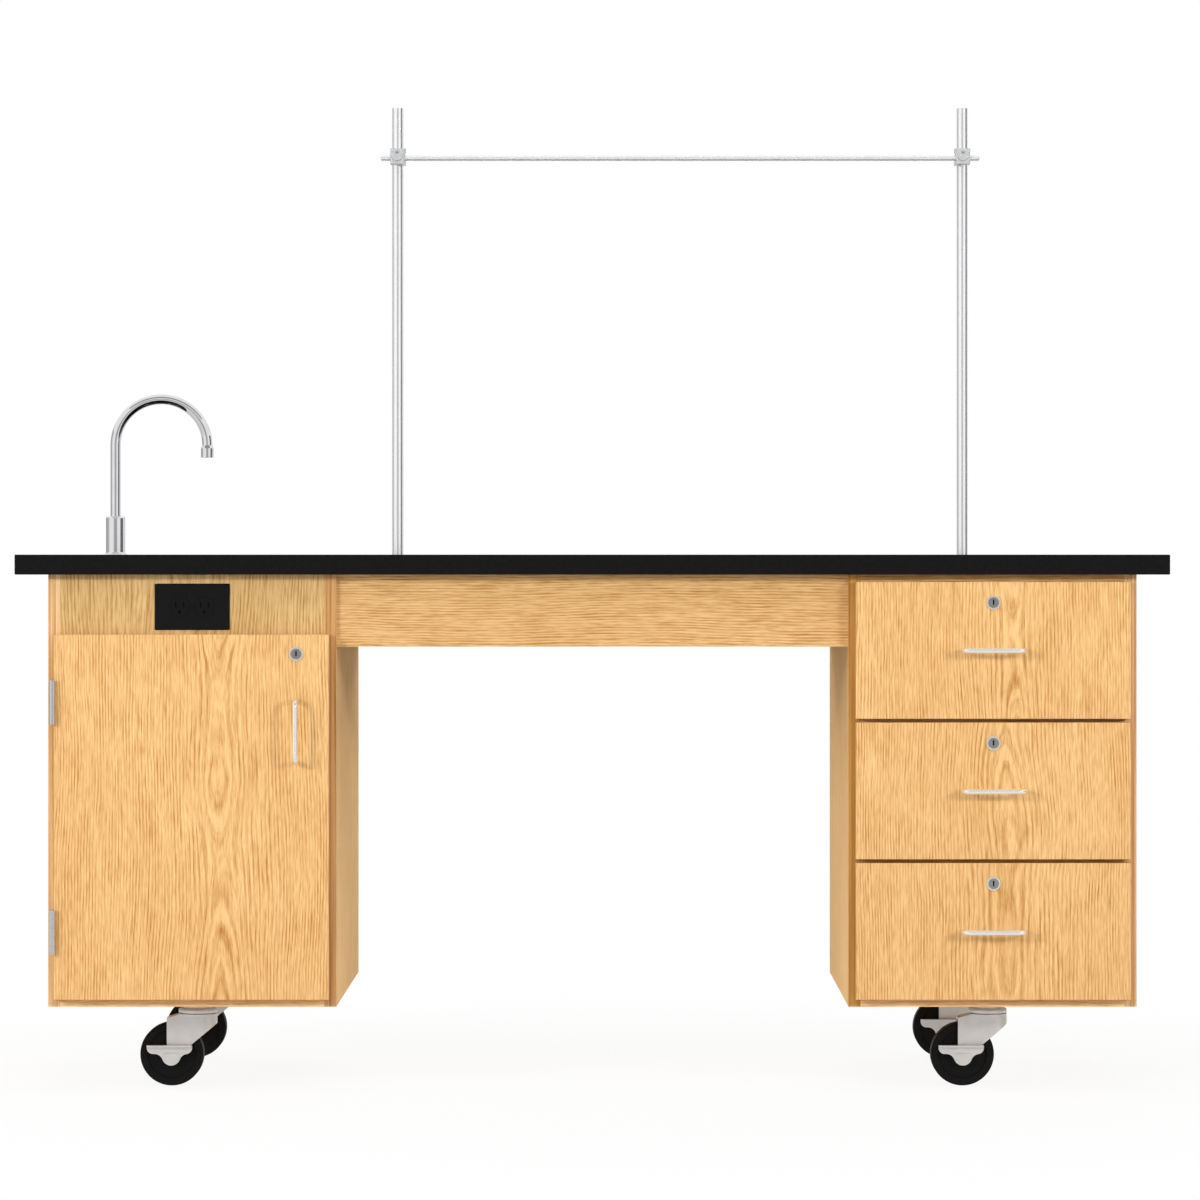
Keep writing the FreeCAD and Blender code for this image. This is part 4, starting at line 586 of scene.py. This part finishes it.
# %% Trees with named sizes
def new_tree(name, sizes):
    """A tree with named inputs; returns it with its input node."""
    tree = bpy.data.node_groups.new(name, "GeometryNodeTree")
    for label, kind in (("Geometry", "Geometry"),) + sizes + (("Finish", "Material"),):
        tree.interface.new_socket(label, in_out="INPUT", socket_type="NodeSocket" + kind)
    tree.interface.new_socket("Geometry", in_out="OUTPUT", socket_type="NodeSocketGeometry")
    return tree, tree.nodes.new("NodeGroupInput")


def end_tree(tree, start, shape):
    """Makes instances real, gives them the finish and ends the tree."""
    real = add(tree, "GeometryNodeRealizeInstances", None, {"Geometry": shape})
    dressed = add(tree, "GeometryNodeSetMaterial", None,
                  {"Geometry": real, "Material": start.outputs["Finish"]})
    add(tree, "NodeGroupOutput", None, {"Geometry": dressed})


def grow(name, tree, values, body, points=((0, 0, 0),), edges=()):
    """Runs a tree on a few points and keeps the result as a plain mesh on a body."""
    base = bpy.data.meshes.new(name)
    base.from_pydata(points, edges, [])
    seed = put(name, base)
    growing = seed.modifiers.new("grow", "NODES")
    growing.node_group = tree
    for item in tree.interface.items_tree:
        if item.in_out == "INPUT" and item.name in values:
            growing[item.identifier] = values[item.name]
    graph = bpy.context.evaluated_depsgraph_get()
    mesh = bpy.data.meshes.new_from_object(seed.evaluated_get(graph))
    bpy.data.objects.remove(seed)
    bpy.data.meshes.remove(base)
    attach(put(name, mesh), body)
    print(name, "faces:", len(mesh.polygons), "on", body)


# %% [markdown]
# A grip is a ring of thin upright bars that stand half out of the surface they grip. The tree puts
# one bar on every point of a circle and then turns and places the whole ring.

# %% Ribs around a ring
ribs, start = new_tree("ribs_around_a_ring",
                       (("Ribs", "Int"), ("Ring Radius", "Float"), ("Rib Radius", "Float"),
                        ("Rib Length", "Float"), ("Turn", "Vector"), ("Place", "Vector")))
ring = add(ribs, "GeometryNodeMeshCircle", None,
           {"Vertices": start.outputs["Ribs"], "Radius": start.outputs["Ring Radius"]})
rib = add(ribs, "GeometryNodeMeshCylinder", None,
          {"Vertices": 8, "Radius": start.outputs["Rib Radius"], "Depth": start.outputs["Rib Length"]})
spread = add(ribs, "GeometryNodeInstanceOnPoints", None, {"Points": ring, "Instance": rib})
placed = add(ribs, "GeometryNodeTransform", None,
             {"Geometry": spread, "Translation": start.outputs["Place"],
              "Rotation": start.outputs["Turn"]})
end_tree(ribs, start, placed)
print("tree:", ribs.name)

# %% [markdown]
# Each tank has a screw cap with a ribbed grip, so that a wet hand can turn it. The cord gland's nut
# has the same ribs, smaller and lying on their side.

# %% Cap grips and gland ribs
FRESH_CAP_X, WASTE_CAP_X, TANK_Y = -0.78755, -0.57245, 0.129125
CAP_HEIGHT, RIB_DROP = 16.0 * MM, 1.2 * MM
GLAND_PLACE = (-0.54545, 0.373425, 0.26405)
rib_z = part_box("water_tanks")[1].z - CAP_HEIGHT / 2 - RIB_DROP
for side, cap_x in (("left", FRESH_CAP_X), ("right", WASTE_CAP_X)):
    grow("tank_cap_ribs_" + side, ribs,
         {"Ribs": 40, "Ring Radius": 29.0 * MM, "Rib Radius": 1.1 * MM, "Rib Length": 10.0 * MM,
          "Turn": (0, 0, 0), "Place": (cap_x, TANK_Y, rib_z), "Finish": can}, "station")
grow("gland_ribs", ribs,
     {"Ribs": 24, "Ring Radius": 15.0 * MM, "Rib Radius": 0.8 * MM, "Rib Length": 4.6 * MM,
      "Turn": (math.radians(90), 0, 0), "Place": GLAND_PLACE, "Finish": black_nylon}, "station")

# %% [markdown]
# A drain hose is corrugated so that it bends without a kink. Its rings follow the hose's own line:
# a few corner points, rounded like the tube, then one ring every few millimetres.

# %% Rings of the drain hose
hose, start = new_tree("rings_along_a_hose",
                       (("Bend", "Float"), ("Spacing", "Float"), ("Hose Radius", "Float"),
                        ("Ring Thickness", "Float")))
line = add(hose, "GeometryNodeMeshToCurve", None, {"Mesh": start.outputs["Geometry"]})
smooth = add(hose, "GeometryNodeFilletCurve", {"mode": "POLY"},
             {"Curve": line, "Count": 12, "Radius": start.outputs["Bend"], "Limit Radius": True})
spaced = add(hose, "GeometryNodeResampleCurve", {"mode": "LENGTH"},
             {"Curve": smooth, "Length": start.outputs["Spacing"]})
stations = add(hose, "GeometryNodeCurveToPoints", {"mode": "EVALUATED"}, {"Curve": spaced})
circle = add(hose, "GeometryNodeCurvePrimitiveCircle", None,
             {"Resolution": 28, "Radius": start.outputs["Hose Radius"]})
profile = add(hose, "GeometryNodeCurvePrimitiveCircle", None,
              {"Resolution": 8, "Radius": start.outputs["Ring Thickness"]})
torus = add(hose, "GeometryNodeCurveToMesh", None, {"Curve": circle, "Profile Curve": profile})
strung = add(hose, "GeometryNodeInstanceOnPoints", None,
             {"Points": stations.outputs["Points"], "Instance": torus,
              "Rotation": stations.outputs["Rotation"]})
end_tree(hose, start, strung)
# down from the sink's tailpiece, across, and down into the waste tank's cap
TAIL_X = -0.6274
drain_line = [(TAIL_X, TANK_Y, 0.5728), (TAIL_X, TANK_Y, 0.5528),
              (WASTE_CAP_X, TANK_Y, 0.50805), (WASTE_CAP_X, TANK_Y, 0.48655)]
grow("drain_hose_rings", hose,
     {"Bend": 40.0 * MM, "Spacing": 4.4 * MM, "Hose Radius": 14.8 * MM, "Ring Thickness": 1.3 * MM,
      "Finish": rubber}, "station", drain_line, [(0, 1), (1, 2), (2, 3)])

# %% [markdown]
# Each hinge leaf is held by two cross-recess screws. One screw head is modelled once, with a
# radius of one and its cross cut out of it, and the tree sets it on every point at its real size.
# The points come from the leaves.

# %% Hinge screws
screws, start = new_tree("screws_on_points", (("Head Radius", "Float"), ("Turn", "Vector")))
HEAD_THICK = 0.3
ARM_SIZES = ((0.24, 1.1, 0.4), (1.1, 0.24, 0.4))
head = add(screws, "GeometryNodeMeshCone", None,
           {"Vertices": 24, "Radius Top": 0.74, "Radius Bottom": 1.0, "Depth": HEAD_THICK})
arms = [add(screws, "GeometryNodeMeshCube", None, {"Size": size}) for size in ARM_SIZES]
lifted = [add(screws, "GeometryNodeTransform", None,
              {"Geometry": arm, "Translation": (0, 0, HEAD_THICK)}) for arm in arms]
# each arm goes to the cut by itself: joined first, they would overlap and the cut would fail
cut = add(screws, "GeometryNodeMeshBoolean", {"operation": "DIFFERENCE", "solver": "EXACT"},
          {"Mesh 1": head, "Mesh 2": lifted[0]})
wire(screws, cut, {"Mesh 2": lifted[1]})
seated = add(screws, "GeometryNodeInstanceOnPoints", None,
             {"Points": start.outputs["Geometry"], "Instance": cut,
              "Rotation": start.outputs["Turn"], "Scale": start.outputs["Head Radius"]})
end_tree(screws, start, seated)

HEAD_RADIUS, LEAF_HALF, SCREW_STEP = 4.2 * MM, 35 * MM, 20 * MM
CASE_SCREW_Y, DOOR_SCREW_INSET = -0.3255, 9 * MM
case_low, case_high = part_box("hinge_case_leaves")
screw_heights = [middle + step for middle in (case_low.z + LEAF_HALF, case_high.z - LEAF_HALF)
                 for step in (-SCREW_STEP, SCREW_STEP)]
grow("hinge_screws_on_case", screws,
     {"Head Radius": HEAD_RADIUS, "Turn": (0, math.radians(90), 0), "Finish": nickel}, "station",
     [(case_high.x, CASE_SCREW_Y, z) for z in screw_heights])
door_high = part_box("hinge_door_leaves")[1]
grow("hinge_screws_on_door", screws,
     {"Head Radius": HEAD_RADIUS, "Turn": (math.radians(-90), 0, 0), "Finish": nickel}, "door",
     [(door_high.x - DOOR_SCREW_INSET, door_high.y, z) for z in screw_heights])

# %% [markdown]
# A keyhole looks black because light hardly leaves it. The solids have the slot, and this small
# black plate of painted shade closes it just under the face, where the pins of a real lock would
# be. It turns with its plug.

# %% Keyways
SLOT_HALF, SLOT_STRAIGHT, SLOT_THICK = 1.2 * MM, 3.25 * MM, 0.5 * MM
SLOT_DEPTH, SLOT_RISE = 0.7 * MM, 0.6 * MM
ARC_STEPS = 8


def keyway(owner, centre):
    """A black plate of painted shade at the bottom of a keyhole, with round ends, seen from the front.
    """
    rim = []
    for end, begin in ((1, 0), (-1, math.pi)):
        for step in range(ARC_STEPS + 1):
            turn = math.pi * step / ARC_STEPS + begin
            rim.append((centre[0] + SLOT_HALF * math.cos(turn),
                        centre[2] + end * SLOT_STRAIGHT + SLOT_HALF * math.sin(turn)))
    count = len(rim)
    corners = [(x, centre[1] + depth, z) for depth in (0, SLOT_THICK) for x, z in rim]
    faces = [list(range(count)), list(range(2 * count - 1, count - 1, -1))]
    faces += [(i, i + count, (i + 1) % count + count, (i + 1) % count) for i in range(count)]
    mesh = bpy.data.meshes.new(owner + "_keyway_shade")
    mesh.from_pydata(corners, [], faces)
    mesh.materials.append(keyway_painted_shade)
    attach(put(owner + "_keyway_shade", mesh), owner + "_lock")
    print(owner + "_keyway_shade corners:", len(corners))


for owner in ("door", "drawer_1", "drawer_2", "drawer_3"):
    barrel_low, barrel_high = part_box(owner + "_lock_barrel")
    middle = (barrel_low + barrel_high) / 2
    face_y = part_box(owner + "_lock_plug")[0].y
    keyway(owner, (middle.x, face_y + SLOT_DEPTH, middle.z + SLOT_RISE))
